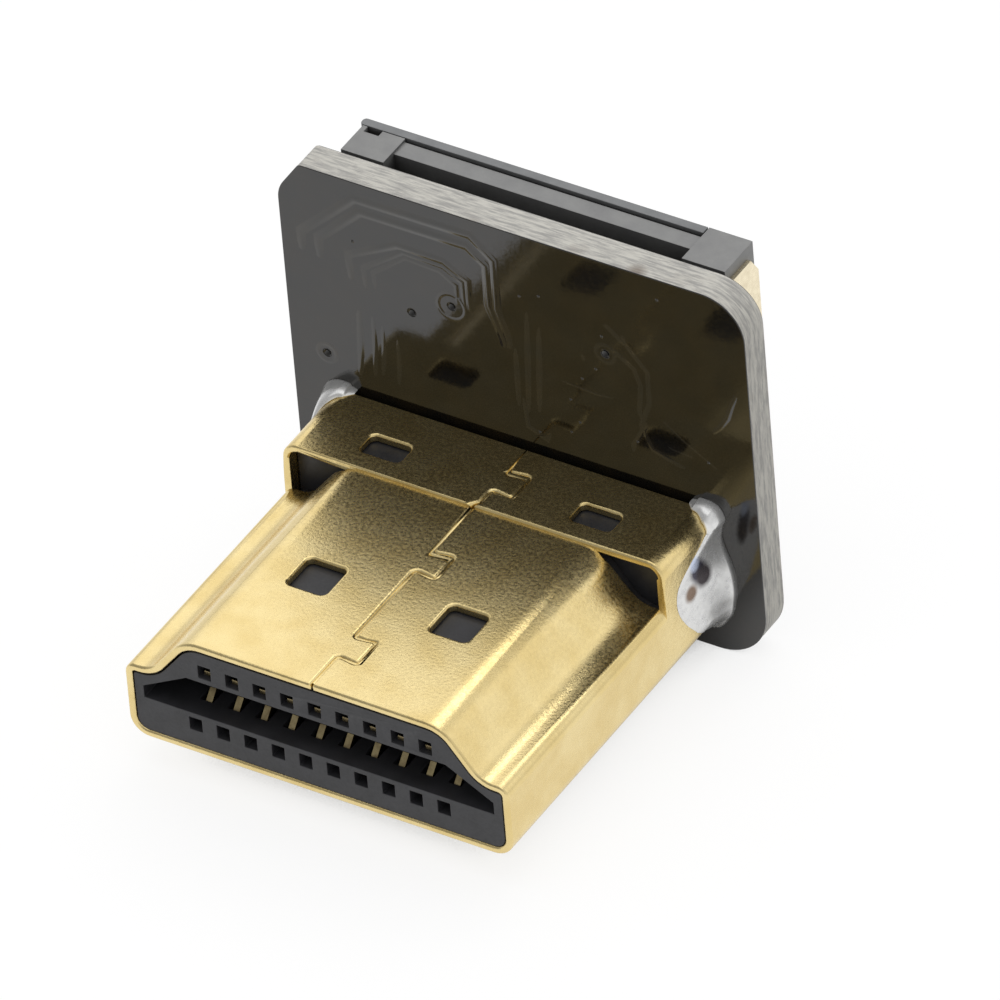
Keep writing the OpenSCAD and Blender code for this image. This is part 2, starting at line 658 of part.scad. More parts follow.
module ffc_housing() color([0.25, 0.25, 0.27]) difference() {
    union() {
        socket_sweep(0, ffc_w) {
            socket_rectangle(0, block_h, 0, ffc_depth);
            socket_rectangle(0, ffc_h, rear_block_u, ffc_depth);
        }
        // Left end: a low block under the lid, the wall beside the lid, and the ear
        socket_span(-socket_x, -block_x) socket_rectangle(0, lid_low - lid_seat, 0, ffc_depth);
        socket_span(-socket_x, -socket_x + end_wall) socket_rectangle(0, ffc_h, 0, ffc_depth);
        socket_span(-socket_x, ear_x) translate([pivot_v, pivot_u]) circle(ear_r);
        // Right end: one solid block
        socket_span(block_x, socket_x) socket_rectangle(0, ffc_h, 0, ffc_depth);
    }
    socket_sweep(0, cable_w) cable_slot_section();
    socket_sweep(0, ffc_w + 2 * over) socket_rectangle(-over, ffc_floor, -over, mouth_step);
    // The wall above the cable stands back a little from the mouth
    socket_sweep(0, cable_w) socket_rectangle(ffc_floor, ffc_h, -over, lid_gap);
    // Trough for the lid's knuckle, and blind holes for its pins
    socket_span(ear_x + pin_clear, lid_x1) translate([pivot_v, pivot_u]) circle(trough_r);
    socket_span(ear_x - pin_l - pin_clear, block_x + pin_l + pin_clear)
        translate([pivot_v, pivot_u]) circle(pin_r + pin_clear);
    for (i = [1:ffc_count]) socket_sweep(ffc_x(i), pin_w + 2 * pin_fit) pin_cavity_section();
    // Room for the lid's finger tab in the left end wall, and the notch under it for a nail
    socket_span(finger_x0, finger_x1) socket_rectangle(lid_low - lid_seat, ffc_h + over, -over, notch_l);
    socket_span(-socket_x + end_wall / 2, -socket_x + end_wall / 2 + notch_w)
        socket_rectangle(block_h - notch_deep, ffc_h, -over, notch_l);
}

// Lock lid: turns about its two end pins, from flat over the socket to standing off the board
module ffc_lid() color([0.2, 0.2, 0.22]) {
    socket_span(lid_x0, lid_x1) socket_rectangle(lid_low, ffc_h, 0, lid_shoulder_u);
    socket_span(finger_x0, finger_x1) socket_rectangle(lid_low, ffc_h, 0, notch_l - pin_clear);
    socket_span(ear_x + 2 * pin_clear, lid_x1 - pin_clear) {
        socket_rectangle(lid_low, ffc_h, 0, pivot_u);
        translate([pivot_v, pivot_u]) circle(knuckle_r);
    }
    socket_span(ear_x - pin_l, block_x + pin_l) translate([pivot_v, pivot_u]) circle(pin_r);
}

// Anchors: a bent plate on each end of the socket, with a foot soldered to the board
foot_u = anchor_drop + (anchor_l - anchor_foot_l) / 2;
module anchor_section() polygon([
    [0, anchor_drop], [ffc_h - anchor_slope, anchor_drop], [ffc_h, anchor_drop + 1.5 * anchor_slope],
    [ffc_h, anchor_drop + anchor_l], [0, anchor_drop + anchor_l]
]);

module ffc_anchor(side) color("gold") mirror([side < 0 ? 1 : 0, 0, 0]) {
    socket_sweep((ffc_w + anchor_t) / 2, anchor_t) anchor_section();
    socket_sweep((ffc_w + foot_out) / 2, foot_out)
        socket_rectangle(0, anchor_t, foot_u, foot_u + anchor_foot_l);
}

// Socket solder: a low fillet at each contact's foot and along each anchor's foot
module fillet_section(leg, rise) polygon([[0, 0], [rise, 0], [rise / 4, leg / 2], [0, leg]]);

module ffc_solder() color("silver") {
    toe_u = ffc_depth + foot_gap + foot_l;
    for (i = [1:ffc_count]) socket_sweep(ffc_x(i), pin_w) translate([0, toe_u]) fillet_section(toe_l, pin_t);
    for (side = [-1, 1]) mirror([side < 0 ? 1 : 0, 0, 0])
        translate([ffc_w / 2 + foot_out, board_back, below_mouth(foot_u + anchor_foot_l)])
            linear_extrude(anchor_foot_l) mirror([1, -1]) fillet_section(toe_l, anchor_t);
}

plug_shell();
front_insulator();
rear_insulator();
for (i = [1:CONTACT_COUNT])
    plug_contact(i);
board();
solder_joint(-1);  // solder_joint_left
solder_joint(1);  // solder_joint_right
tail_solder();
ffc_housing();
ffc_lid();
for (i = [1:MAX_FFC])
    ffc_contact(i);
ffc_anchor(-1);  // ffc_anchor_left
ffc_anchor(1);  // ffc_anchor_right
ffc_solder();
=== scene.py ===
"""A digital video plug soldered square to a small black board, dressed for a studio picture.

x runs across the plug and y back from its mouth. Sizes and places are in millimetres, and heights
are counted from the plug's underside, as in the part's own drawing. Every mesh is made in metres,
in the row frame, where height 0 is the plug's middle.
"""

import logging
import math
from collections.abc import Callable, Iterator
from contextlib import contextmanager
from dataclasses import dataclass
from enum import Enum

import bmesh
import bpy
from mathutils import Matrix, Vector
from mathutils.geometry import tessellate_polygon


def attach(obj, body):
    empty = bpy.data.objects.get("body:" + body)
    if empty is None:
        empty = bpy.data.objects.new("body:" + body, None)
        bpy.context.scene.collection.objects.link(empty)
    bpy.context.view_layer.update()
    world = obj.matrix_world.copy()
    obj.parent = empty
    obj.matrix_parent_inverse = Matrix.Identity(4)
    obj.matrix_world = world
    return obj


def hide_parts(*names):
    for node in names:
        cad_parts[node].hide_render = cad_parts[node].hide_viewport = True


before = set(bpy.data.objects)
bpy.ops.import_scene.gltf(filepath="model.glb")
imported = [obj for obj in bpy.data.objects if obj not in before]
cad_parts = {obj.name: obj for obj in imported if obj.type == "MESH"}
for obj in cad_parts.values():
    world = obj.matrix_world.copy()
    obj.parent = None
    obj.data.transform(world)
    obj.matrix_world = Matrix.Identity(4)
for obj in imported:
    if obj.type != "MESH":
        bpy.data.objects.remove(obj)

LOG = logging.getLogger("plug")
MM = 0.001
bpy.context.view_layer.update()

Point = tuple[float, float]
Place = tuple[float, float, float]
Colour = tuple[float, float, float]
Span = tuple[float, float]
Faces = list[list[int]]
Shape = tuple[list[Vector], Faces]
Socket = bpy.types.NodeSocket
Edge = bmesh.types.BMEdge

# Numbers of the Mix node's colour sockets, which share their names with its other sockets
MIX_FACTOR, MIX_FIRST, MIX_SECOND, MIX_RESULT = 0, 6, 7, 2

# Rays that find out how covered a place is
COVER_SAMPLES = 8

# How a copy of one of the frame's own meshes is cleaned and rounded
MERGE_MM = 0.0002
FLAT_DEGREES = 0.6
SHARP_DEGREES = 32.0
EDGE_STEPS = 2
CORNER_STEPS = 4
FACE_WEIGHT = 80

# Places closer together than this are the same, in millimetres
SAME_PLACE = 0.002


class Body(Enum):
    """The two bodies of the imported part."""

    CONNECTOR = "connector"
    LID = "lid"


class Side(Enum):
    """The plug's two sides, seen from its mouth: the sign of x."""

    LEFT = -1
    RIGHT = 1


class Slot(Enum):
    """The record's finish slots."""

    SHELL = "plated_shell"
    PLUG_PLASTIC = "plug_plastic"
    SOCKET_PLASTIC = "socket_plastic"
    LID_PLASTIC = "lid_plastic"
    BOARD = "board_mask"
    SOLDER = "solder"
    PLUG_CONTACT = "plated_contact"
    SOCKET_CONTACT = "tinned_contact"
    ANCHOR = "plated_anchor"


@dataclass(frozen=True)
class Layout:
    """The part's main sizes, repeated from its drawing."""

    shell_width: float = 13.9
    shell_height: float = 4.45
    box_start: float = 9.6
    box_end: float = 12.65
    box_height: float = 4.57
    box_corner: float = 0.6
    low_corner: float = 0.7
    board_front: float = 12.87
    board_back: float = 14.07
    board_half: float = 8.45
    board_low: float = -1.2
    board_high: float = 13.05

    def height(self, above_underside: float) -> float:
        """Returns a height above the plug's underside as one above its middle."""
        return above_underside - self.shell_height / 2


LAYOUT = Layout()


@dataclass(frozen=True)
class Lumps:
    """A smooth random pattern: lumps to the millimetre, octaves, their strength, and a stretch."""

    per_mm: float
    octaves: float = 2.0
    rough: float = 0.5
    stretch: Place = (1.0, 1.0, 1.0)


class Graph:
    """Builds the node tree of one material or of the world."""

    def __init__(self, owner: bpy.types.Material | bpy.types.World) -> None:
        """Starts an empty tree.

        Args:
            owner: the material or world that the tree belongs to.
        """
        owner.use_nodes = True
        self.owner = owner
        self.tree = owner.node_tree
        self.tree.nodes.clear()

    @classmethod
    def of_material(cls, name: str) -> "Graph":
        """Starts a new material of this name."""
        return cls(bpy.data.materials.new(name))

    def add(
        self, kind: str, inputs: dict[str | int, object] | None = None, **settings: object
    ) -> bpy.types.Node:
        """Adds a node.

        Args:
            kind: the node's type, such as ShaderNodeMath.
            inputs: what goes into its inputs, by their name or number.
            **settings: properties of the node, by name.

        Returns:
            The new node.
        """
        node = self.tree.nodes.new(kind)
        for key, value in settings.items():
            setattr(node, key, value)
        for key, value in (inputs or {}).items():
            self.fill(node.inputs[key], value)
        return node

    def fill(self, socket: Socket, value: object) -> None:
        """Links an input to an output, or sets its value.

        Args:
            socket: the input.
            value: an output, a number, a place or a colour.
        """
        if isinstance(value, bpy.types.NodeSocket):
            self.tree.links.new(value, socket)
        elif socket.type == "RGBA":
            socket.default_value = (*value, 1.0)
        else:
            socket.default_value = value

    def millimetres(self, stretch: Place = (1.0, 1.0, 1.0)) -> Socket:
        """Returns the piece's own coordinates in millimetres.

        Args:
            stretch: extra scale of each axis.

        Returns:
            A vector socket.
        """
        place = self.add("ShaderNodeTexCoord").outputs["Object"]
        scale = tuple(s / MM for s in stretch)
        return self.add("ShaderNodeMapping", {"Vector": place, "Scale": scale}).outputs["Vector"]

    def noise(self, lumps: Lumps) -> Socket:
        """Returns a smooth random pattern.

        Args:
            lumps: what the pattern looks like.

        Returns:
            A value socket from 0 to 1.
        """
        inputs = {
            "Vector": self.millimetres(lumps.stretch),
            "Scale": lumps.per_mm,
            "Detail": lumps.octaves,
            "Roughness": lumps.rough,
        }
        return self.add("ShaderNodeTexNoise", inputs).outputs["Fac"]

    def ramp(self, value: Socket, span: Span, result: Span = (0.0, 1.0)) -> Socket:
        """Maps a value from one range to another, and clamps it.

        Args:
            value: the value to map.
            span: the values that give the result's two ends.
            result: the result's two ends.

        Returns:
            The mapped value.
        """
        inputs = {
            "Value": value,
            "From Min": span[0],
            "From Max": span[1],
            "To Min": result[0],
            "To Max": result[1],
        }
        return self.add("ShaderNodeMapRange", inputs).outputs["Result"]

    def blend(self, factor: Socket, first: object, second: object) -> Socket:
        """Mixes two colours.

        Args:
            factor: 0 gives the first colour and 1 the second.
            first: a colour or a socket.
            second: a colour or a socket.

        Returns:
            The mixed colour.
        """
        inputs = {MIX_FACTOR: factor, MIX_FIRST: first, MIX_SECOND: second}
        return self.add("ShaderNodeMix", inputs, data_type="RGBA").outputs[MIX_RESULT]

    def math(self, operation: str, first: object, second: object) -> Socket:
        """Returns two numbers or value sockets combined by one of the Math node's operations."""
        return self.add("ShaderNodeMath", {0: first, 1: second}, operation=operation).outputs[0]

    def spot(self, centre: Place, inner: float, outer: float) -> Socket:
        """Returns a soft round spot around one place of the piece.

        Args:
            centre: the spot's middle, in the row frame.
            inner: radius inside which the spot is full.
            outer: radius outside which it is gone.

        Returns:
            A value socket from 0 to 1.
        """
        inputs = {0: self.millimetres(), 1: centre}
        gap = self.add("ShaderNodeVectorMath", inputs, operation="DISTANCE")
        return self.ramp(gap.outputs["Value"], (inner, outer), (1.0, 0.0))

    def bump(self, height: Socket, depth_mm: float, under: Socket | None = None) -> Socket:
        """Turns a value into a surface relief.

        Args:
            height: the relief, from 0 to 1.
            depth_mm: the relief's depth.
            under: a coarser relief below this one.

        Returns:
            A normal socket.
        """
        inputs = {"Height": height, "Distance": depth_mm * MM, "Strength": 1.0}
        coarse = {} if under is None else {"Normal": under}
        return self.add("ShaderNodeBump", inputs | coarse).outputs["Normal"]

    def openness(self, reach_mm: float) -> Socket:
        """Returns 1 where nothing stands within reach of the surface, and less in a hollow."""
        inputs = {"Distance": reach_mm * MM}
        return self.add("ShaderNodeAmbientOcclusion", inputs, samples=COVER_SAMPLES).outputs["AO"]

    def camera_ray(self) -> Socket:
        """Returns 1 for rays from the camera, else 0."""
        return self.add("ShaderNodeLightPath").outputs["Is Camera Ray"]

    def seen(self) -> Socket:
        """Tells which rays see a surface rather than light it.

        Returns:
            1 for rays from the camera, from gloss and through glass, else 0.
        """
        path = self.add("ShaderNodeLightPath")
        first = self.math("MAXIMUM", path.outputs["Is Camera Ray"], path.outputs["Is Glossy Ray"])
        return self.math("MAXIMUM", first, path.outputs["Is Transmission Ray"])

    def end(self, shader: bpy.types.Node, kind: str = "ShaderNodeOutputMaterial") -> None:
        """Ends the tree in this shader."""
        self.add(kind, {"Surface": shader.outputs[0]})

    def surface(self, **inputs: object) -> bpy.types.Material:
        """Ends the tree in one surface shader.

        Args:
            **inputs: the shader's inputs, with underscores for the spaces in their names.

        Returns:
            The finished material.
        """
        named = {key.replace("_", " "): value for key, value in inputs.items()}
        self.end(self.add("ShaderNodeBsdfPrincipled", named))
        return self.owner


@dataclass(frozen=True)
class GoldPlate:
    """Gold plating over a stamped sheet: satin, with a fine grain and faint long waves."""

    slot: Slot = Slot.SHELL
    name: str = "gold_plate"
    light: Colour = (0.84, 0.68, 0.34)
    deep: Colour = (0.77, 0.6, 0.27)
    patches: Lumps = Lumps(0.8)
    patch_span: Span = (0.35, 0.65)
    grain: Lumps = Lumps(9.0, 3.0, 0.6)
    grain_mm: float = 0.0075
    grain_span: Span = (0.35, 0.7)
    waves: Lumps = Lumps(0.35, 1.0)
    wave_mm: float = 0.002
    roughness: Span = (0.22, 0.35)

    def build(self) -> bpy.types.Material:
        """Makes the material.

        Returns:
            The material.
        """
        g = Graph.of_material(self.name)
        grain = g.noise(self.grain)
        patches = g.ramp(g.noise(self.patches), self.patch_span)
        return g.surface(
            Base_Color=g.blend(patches, self.light, self.deep),
            Metallic=1.0,
            Roughness=g.ramp(grain, self.grain_span, self.roughness),
            Normal=g.bump(grain, self.grain_mm, g.bump(g.noise(self.waves), self.wave_mm)),
        )


@dataclass(frozen=True)
class MouldedPlastic:
    """Moulded plastic with a fine sparked skin, which may be darkened in hollows by painted shade.
    """

    slot: Slot
    name: str
    light: Colour
    dark: Colour
    roughness: Span
    # Painted shade in hollows: how far it looks for nearby surfaces, its dark colour, and the
    # openness over which it fades in
    painted_shade_reach_mm: float = 0.0
    hollow: Colour = (0.035, 0.034, 0.033)
    painted_shade_span: Span = (0.15, 0.75)
    clouds: Lumps = Lumps(1.3)
    grain: Lumps = Lumps(11.0)
    grain_mm: float = 0.004
    span: Span = (0.3, 0.7)

    def build(self) -> bpy.types.Material:
        """Makes the material.

        Returns:
            The material.
        """
        g = Graph.of_material(self.name)
        grain = g.noise(self.grain)
        colour = g.blend(g.ramp(g.noise(self.clouds), self.span), self.dark, self.light)
        # Painted shade: the colour turns dark where other surfaces stand near
        if self.painted_shade_reach_mm:
            unshaded = g.ramp(g.openness(self.painted_shade_reach_mm), self.painted_shade_span)
            colour = g.blend(unshaded, self.hollow, colour)
        return g.surface(
            Base_Color=colour,
            Roughness=g.ramp(grain, self.span, self.roughness),
            Normal=g.bump(grain, self.grain_mm),
        )


@dataclass(frozen=True)
class BoardMask:
    """Glossy black solder mask with slow waves and a fine skin."""

    slot: Slot = Slot.BOARD
    name: str = "black_mask"
    black: Colour = (0.0085, 0.0078, 0.0065)
    brown: Colour = (0.015, 0.0115, 0.007)
    waves: Lumps = Lumps(0.9)
    wave_mm: float = 0.006
    wave_span: Span = (0.35, 0.65)
    skin: Lumps = Lumps(9.0, 1.0)
    skin_mm: float = 0.0006
    skin_span: Span = (0.3, 0.7)
    roughness: Span = (0.07, 0.12)
    refraction: float = 1.67

    def build(self) -> bpy.types.Material:
        """Makes the material.

        Returns:
            The material.
        """
        g = Graph.of_material(self.name)
        waves = g.noise(self.waves)
        skin = g.noise(self.skin)
        return g.surface(
            Base_Color=g.blend(g.ramp(waves, self.wave_span), self.black, self.brown),
            Roughness=g.ramp(skin, self.skin_span, self.roughness),
            IOR=self.refraction,
            Normal=g.bump(skin, self.skin_mm, g.bump(waves, self.wave_mm)),
        )


@dataclass(frozen=True)
class FibreEdge:
    """The milled edge of a glass-fibre board: pale, with torn fibres in layers, and one smudge."""

    slot: Slot = Slot.BOARD
    name: str = "fibre_edge"
    pale: Colour = (0.68, 0.66, 0.6)
    grey: Colour = (0.4, 0.39, 0.37)
    brown: Colour = (0.24, 0.19, 0.15)
    streaks: Lumps = Lumps(1.6, 4.0, 0.7, (0.7, 6.0, 0.7))
    streak_mm: float = 0.02
    streak_span: Span = (0.42, 0.62)
    threads: Lumps = Lumps(1.3, 3.0, 0.6, (2.0, 14.0, 2.0))
    thread_mm: float = 0.008
    thread_span: Span = (0.55, 0.75)
    thread_share: Span = (0.0, 0.45)
    stains: Lumps = Lumps(0.5, 3.0, 0.6)
    stain_span: Span = (0.6, 0.75)
    stain_share: Span = (0.0, 0.4)
    smudge_place: Place = (4.6, 13.0, 10.8)
    smudge_radii: Span = (0.1, 0.42)
    smudge_share: float = 0.75
    rough_span: Span = (0.3, 0.7)
    roughness: Span = (0.5, 0.75)

    def build(self) -> bpy.types.Material:
        """Makes the material.

        Returns:
            The material.
        """
        g = Graph.of_material(self.name)
        streaks = g.noise(self.streaks)
        threads = g.noise(self.threads)
        stained = g.ramp(g.noise(self.stains), self.stain_span, self.stain_share)
        smudge = g.spot(self.smudge_place, *self.smudge_radii)
        colour = g.blend(g.ramp(streaks, self.streak_span), self.pale, self.grey)
        colour = g.blend(stained, colour, self.brown)
        colour = g.blend(g.math("MULTIPLY", smudge, self.smudge_share), colour, self.brown)
        torn = g.ramp(threads, self.thread_span, self.thread_share)
        return g.surface(
            Base_Color=g.blend(torn, colour, self.grey),
            Roughness=g.ramp(threads, self.rough_span, self.roughness),
            Normal=g.bump(streaks, self.streak_mm, g.bump(threads, self.thread_mm)),
        )


@dataclass(frozen=True)
class PatchAndReflection:
    """A soft round spot of colour on metal, full within its core's share of its radius: a patch, a
    painted reflection or a painted highlight.
    """

    place: Place
    radius: float
    tint: Colour
    core: float = 0.55


@dataclass(frozen=True)
class BrightMetal:
    """Smooth metal that flowed or was plated: solder, tin or gold on small contacts."""

    slot: Slot
    name: str
    light: Colour
    deep: Colour
    roughness: Span
    lump_mm: float
    lumps: Lumps = Lumps(1.4)
    film: Lumps = Lumps(3.5, 3.0, 0.6)
    tint_span: Span = (0.35, 0.7)
    rough_span: Span = (0.4, 0.65)
    metal: float = 1.0
    # Soft round spots of colour; on the solder they are painted reflections, a painted highlight
    # and a brown patch
    stains: tuple[PatchAndReflection, ...] = ()

    def build(self) -> bpy.types.Material:
        """Makes the material.

        Returns:
            The material.
        """
        g = Graph.of_material(self.name)
        film = g.noise(self.film)
        colour = g.blend(g.ramp(film, self.tint_span), self.light, self.deep)
        # Lays the spots over the colour: painted reflections and highlights, and patches
        for patch_mark in self.stains:
            spot = g.spot(patch_mark.place, patch_mark.core * patch_mark.radius, patch_mark.radius)
            colour = g.blend(spot, colour, patch_mark.tint)
        return g.surface(
            Base_Color=colour,
            Metallic=self.metal,
            Roughness=g.ramp(film, self.rough_span, self.roughness),
            Normal=g.bump(g.noise(self.lumps), self.lump_mm),
        )


Finish = GoldPlate | MouldedPlastic | BoardMask | FibreEdge | BrightMetal

GOLD = GoldPlate()
MASK = BoardMask()
COVERED_COPPER = BoardMask(
    name="mask_over_copper", black=(0.021, 0.02, 0.017), brown=(0.034, 0.028, 0.019)
)
EDGE = FibreEdge()
PLUG_PLASTIC = MouldedPlastic(
    slot=Slot.PLUG_PLASTIC,
    name="plug_plastic",
    light=(0.042, 0.042, 0.047),
    dark=(0.028, 0.028, 0.031),
    roughness=(0.34, 0.5),
)
SOCKET_PLASTIC = MouldedPlastic(
    slot=Slot.SOCKET_PLASTIC,
    name="socket_plastic",
    light=(0.29, 0.29, 0.285),
    dark=(0.24, 0.24, 0.24),
    roughness=(0.37, 0.53),
    # painted shade darkens the socket's slot and corners
    painted_shade_reach_mm=2.5,
)
LID_PLASTIC = MouldedPlastic(
    slot=Slot.LID_PLASTIC,
    name="lid_plastic",
    light=(0.25, 0.255, 0.26),
    dark=(0.2, 0.205, 0.21),
    roughness=(0.37, 0.53),
    # painted shade darkens the lid's hollows
    painted_shade_reach_mm=2.5,
)
SOLDER = BrightMetal(
    slot=Slot.SOLDER,
    name="solder",
    light=(0.88, 0.88, 0.87),
    deep=(0.8, 0.8, 0.8),
    roughness=(0.2, 0.3),
    lump_mm=0.003,
    lumps=Lumps(1.0),
    metal=0.65,
    # A brown patch, two dark ovals that paint a reflection, and a light blue spot that paints a
    # highlight
    stains=(
        PatchAndReflection((7.1, 10.96, 0.3), 0.38, (0.25, 0.17, 0.12)),
        PatchAndReflection((7.1, 11.45, 0.87), 0.5, (0.06, 0.055, 0.085)),
        PatchAndReflection((7.13, 11.66, 0.56), 0.5, (0.05, 0.04, 0.045)),
        PatchAndReflection((7.1, 11.32, 1.2), 0.34, (0.65, 0.72, 0.9)),
    ),
)
# The contacts' gold is darker than the shell's: partly a duller plating, partly painted shade, as
# the contacts lie deep in the mouth
CONTACT_GOLD = BrightMetal(
    slot=Slot.PLUG_CONTACT,
    name="contact_gold",
    light=(0.5, 0.41, 0.22),
    deep=(0.36, 0.28, 0.15),
    roughness=(0.22, 0.36),
    lump_mm=0.004,
)
TINNED = BrightMetal(
    slot=Slot.SOCKET_CONTACT,
    name="tinned_contact",
    light=(0.7, 0.7, 0.7),
    deep=(0.55, 0.55, 0.56),
    roughness=(0.2, 0.35),
    lump_mm=0.004,
)
ANCHOR = BrightMetal(
    slot=Slot.ANCHOR,
    name="anchor_plate",
    light=(0.9, 0.8, 0.58),
    deep=(0.8, 0.7, 0.5),
    roughness=(0.2, 0.35),
    lump_mm=0.006,
)


class Finishes:
    """Builds each finish once and hands it out."""

    def __init__(self) -> None:
        """Starts with nothing built."""
        self.made: dict[str, bpy.types.Material] = {}

    def of(self, finish: Finish) -> bpy.types.Material:
        """Returns a finish's material, and builds it at its first use.

        Args:
            finish: the finish that is asked for.

        Returns:
            The material.
        """
        if finish.name not in self.made:
            self.made[finish.name] = finish.build()
        return self.made[finish.name]


FINISHES = Finishes()


def at(x: float, y: float, height: float) -> Vector:
    """Returns a place across the plug, behind its mouth and above its underside, in metres."""
    return Vector((x, y, LAYOUT.height(height))) * MM


def arc(centre: Point, radius: float, start: float, end: float, steps: int) -> list[Point]:
    """Returns points along an arc.

    Args:
        centre: the arc's centre.
        radius: its radius.
        start: its first angle in degrees.
        end: its last angle in degrees.
        steps: number of pieces.

    Returns:
        The points, both ends included.
    """
    angles = [math.radians(start + (end - start) * k / steps) for k in range(steps + 1)]
    return [(centre[0] + radius * math.cos(a), centre[1] + radius * math.sin(a)) for a in angles]


def circle(centre: Point, radius: float, steps: int, way: int = 1) -> list[Point]:
    """Returns the corners of a circle's polygon, anticlockwise, or clockwise for a way of -1."""
    return arc(centre, radius, 0, way * (360 - 360 / steps), steps - 1)


def bend(corner: Point, start: float, end: float, radius: float, steps: int) -> list[Point]:
    """Returns an outline's rounded corner.

    Args:
        corner: the sharp corner.
        start: outward direction of the side before it, in degrees.
        end: outward direction of the side after it.
        radius: radius of the rounding.
        steps: number of pieces.

    Returns:
        The points, both ends included.
    """
    middle = math.radians((start + end) / 2)
    away = radius / math.cos(math.radians((end - start) / 2))
    centre = (corner[0] - away * math.cos(middle), corner[1] - away * math.sin(middle))
    return arc(centre, radius, start, end, steps)


def mitres(path: list[Point]) -> list[Vector]:
    """Returns the way to the left at each point of a path, so that a band keeps its width.

    Args:
        path: the path's points.

    Returns:
        One vector a point, as long as a band of half width 1 needs there.
    """
    last = len(path) - 1
    sides = []
    for i in range(last + 1):
        before = Vector(path[max(i, 1)]) - Vector(path[max(i, 1) - 1])
        ahead = Vector(path[min(i + 1, last)]) - Vector(path[min(i + 1, last) - 1])
        p = Vector((-before.y, before.x)).normalized()
        q = Vector((-ahead.y, ahead.x)).normalized()
        sides.append((p + q) / (1 + p.dot(q)))
    return sides


def spread(count: int) -> list[float]:
    """Returns numbers that lie evenly from -1 to 1."""
    return [2 * k / (count - 1) - 1 for k in range(count)]


def swell(t: float) -> float:
    """Returns the height of a soft swelling: 1 at 0, and 0 at -1 and at 1."""
    return 0.5 + 0.5 * math.cos(math.pi * t)


def net(rows: int, columns: int, round_rows: bool = False, round_columns: bool = False) -> Faces:
    """Returns the faces of a net whose corners are counted row by row.

    Args:
        rows: number of rows.
        columns: number of corners in a row.
        round_rows: the last row joins on to the first.
        round_columns: the last corner of each row joins on to its first.

    Returns:
        The faces, each with four corner numbers.
    """
    faces = []
    for i in range(rows if round_rows else rows - 1):
        a, b = i * columns, (i + 1) % rows * columns
        for k in range(columns if round_columns else columns - 1):
            n = (k + 1) % columns
            faces.append([a + k, a + n, b + n, b + k])
    return faces


def joined(shapes: list[Shape]) -> Shape:
    """Puts shapes together, with their corners counted on.

    Args:
        shapes: corners and faces of each shape.

    Returns:
        All corners and all faces.
    """
    verts: list[Vector] = []
    faces: Faces = []
    for new_verts, new_faces in shapes:
        start = len(verts)
        verts += new_verts
        faces += [[start + i for i in face] for face in new_faces]
    return verts, faces


@contextmanager
def opened(made: bpy.types.Object) -> Iterator[bmesh.types.BMesh]:
    """Opens a piece's mesh for changes.

    Args:
        made: the piece.

    Yields:
        The mesh, which is written back afterwards.
    """
    mesh = bmesh.new()
    mesh.from_mesh(made.data)
    yield mesh
    mesh.to_mesh(made.data)
    mesh.free()


def placed(
    name: str, mesh: bpy.types.Mesh, finish: Finish, body: Body = Body.CONNECTOR
) -> bpy.types.Object:
    """Makes a mesh a piece of the dressed part, smooth, with its finish, on its body.

    Args:
        name: the piece's name.
        mesh: its mesh.
        finish: its finish.
        body: the body that carries it.

    Returns:
        The new object.
    """
    mesh.polygons.foreach_set("use_smooth", [True] * len(mesh.polygons))
    made = bpy.data.objects.new(name, mesh)
    bpy.context.scene.collection.objects.link(made)
    made.data.materials.append(FINISHES.of(finish))
    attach(made, body.value)
    LOG.info("piece %s: %d faces", name, len(mesh.polygons))
    return made


def piece(name: str, shape: Shape, finish: Finish) -> bpy.types.Object:
    """Makes a piece of the dressed part from a shape.

    Args:
        name: the piece's name.
        shape: its corners in metres, in the row frame, and its faces.
        finish: its finish.

    Returns:
        The new object.
    """
    mesh = bpy.data.meshes.new(name)
    mesh.from_pydata([tuple(v) for v in shape[0]], [], shape[1])
    mesh.validate()
    return placed(name, mesh, finish)


def soften(made: bpy.types.Object, width_mm: float) -> None:
    """Rounds a piece's sharp edges and evens out its shading.

    Args:
        made: the piece.
        width_mm: width of the rounding.
    """
    bevel = made.modifiers.new("edges", "BEVEL")
    bevel.width = width_mm * MM
    bevel.segments = EDGE_STEPS
    bevel.limit_method = "ANGLE"
    bevel.angle_limit = math.radians(SHARP_DEGREES)
    bevel.use_clamp_overlap = True
    even = made.modifiers.new("shading", "WEIGHTED_NORMAL")
    even.mode = "FACE_AREA"
    even.weight = FACE_WEIGHT


def turn_corners(mesh: bmesh.types.BMesh, radius_of: Callable[[Edge], float]) -> None:
    """Rounds chosen upright edges, which are the corners of an outline.

    Args:
        mesh: the mesh.
        radius_of: gives an edge's radius in millimetres, or 0.
    """
    chosen = {edge: radius_of(edge) for edge in mesh.edges}
    for radius in sorted({r for r in chosen.values() if r > 0}):
        bmesh.ops.bevel(
            mesh,
            geom=[edge for edge, r in chosen.items() if r == radius and edge.is_valid],
            offset=radius * MM,
            offset_type="OFFSET",
            segments=CORNER_STEPS,
            profile=0.5,
            affect="EDGES",
            clamp_overlap=True,
        )


def mark_edges(mesh: bmesh.types.BMesh, width_of: Callable[[Edge], float]) -> None:
    """Writes down how wide each outer edge is to be rounded.

    Args:
        mesh: the mesh.
        width_of: gives an edge's width in millimetres, or 0.
    """
    layer = mesh.edges.layers.float.new("bevel_weight_edge")
    for edge in mesh.edges:
        faces = len(edge.link_faces)
        if faces == 2 and edge.calc_face_angle_signed() > math.radians(SHARP_DEGREES):
            edge[layer] = width_of(edge)


def round_marked(made: bpy.types.Object) -> None:
    """Rounds the marked edges of a piece, each by its own width.

    Args:
        made: the piece.
    """
    bevel = made.modifiers.new("wide_edges", "BEVEL")
    bevel.width = MM
    bevel.segments = CORNER_STEPS
    bevel.limit_method = "WEIGHT"
    bevel.use_clamp_overlap = False


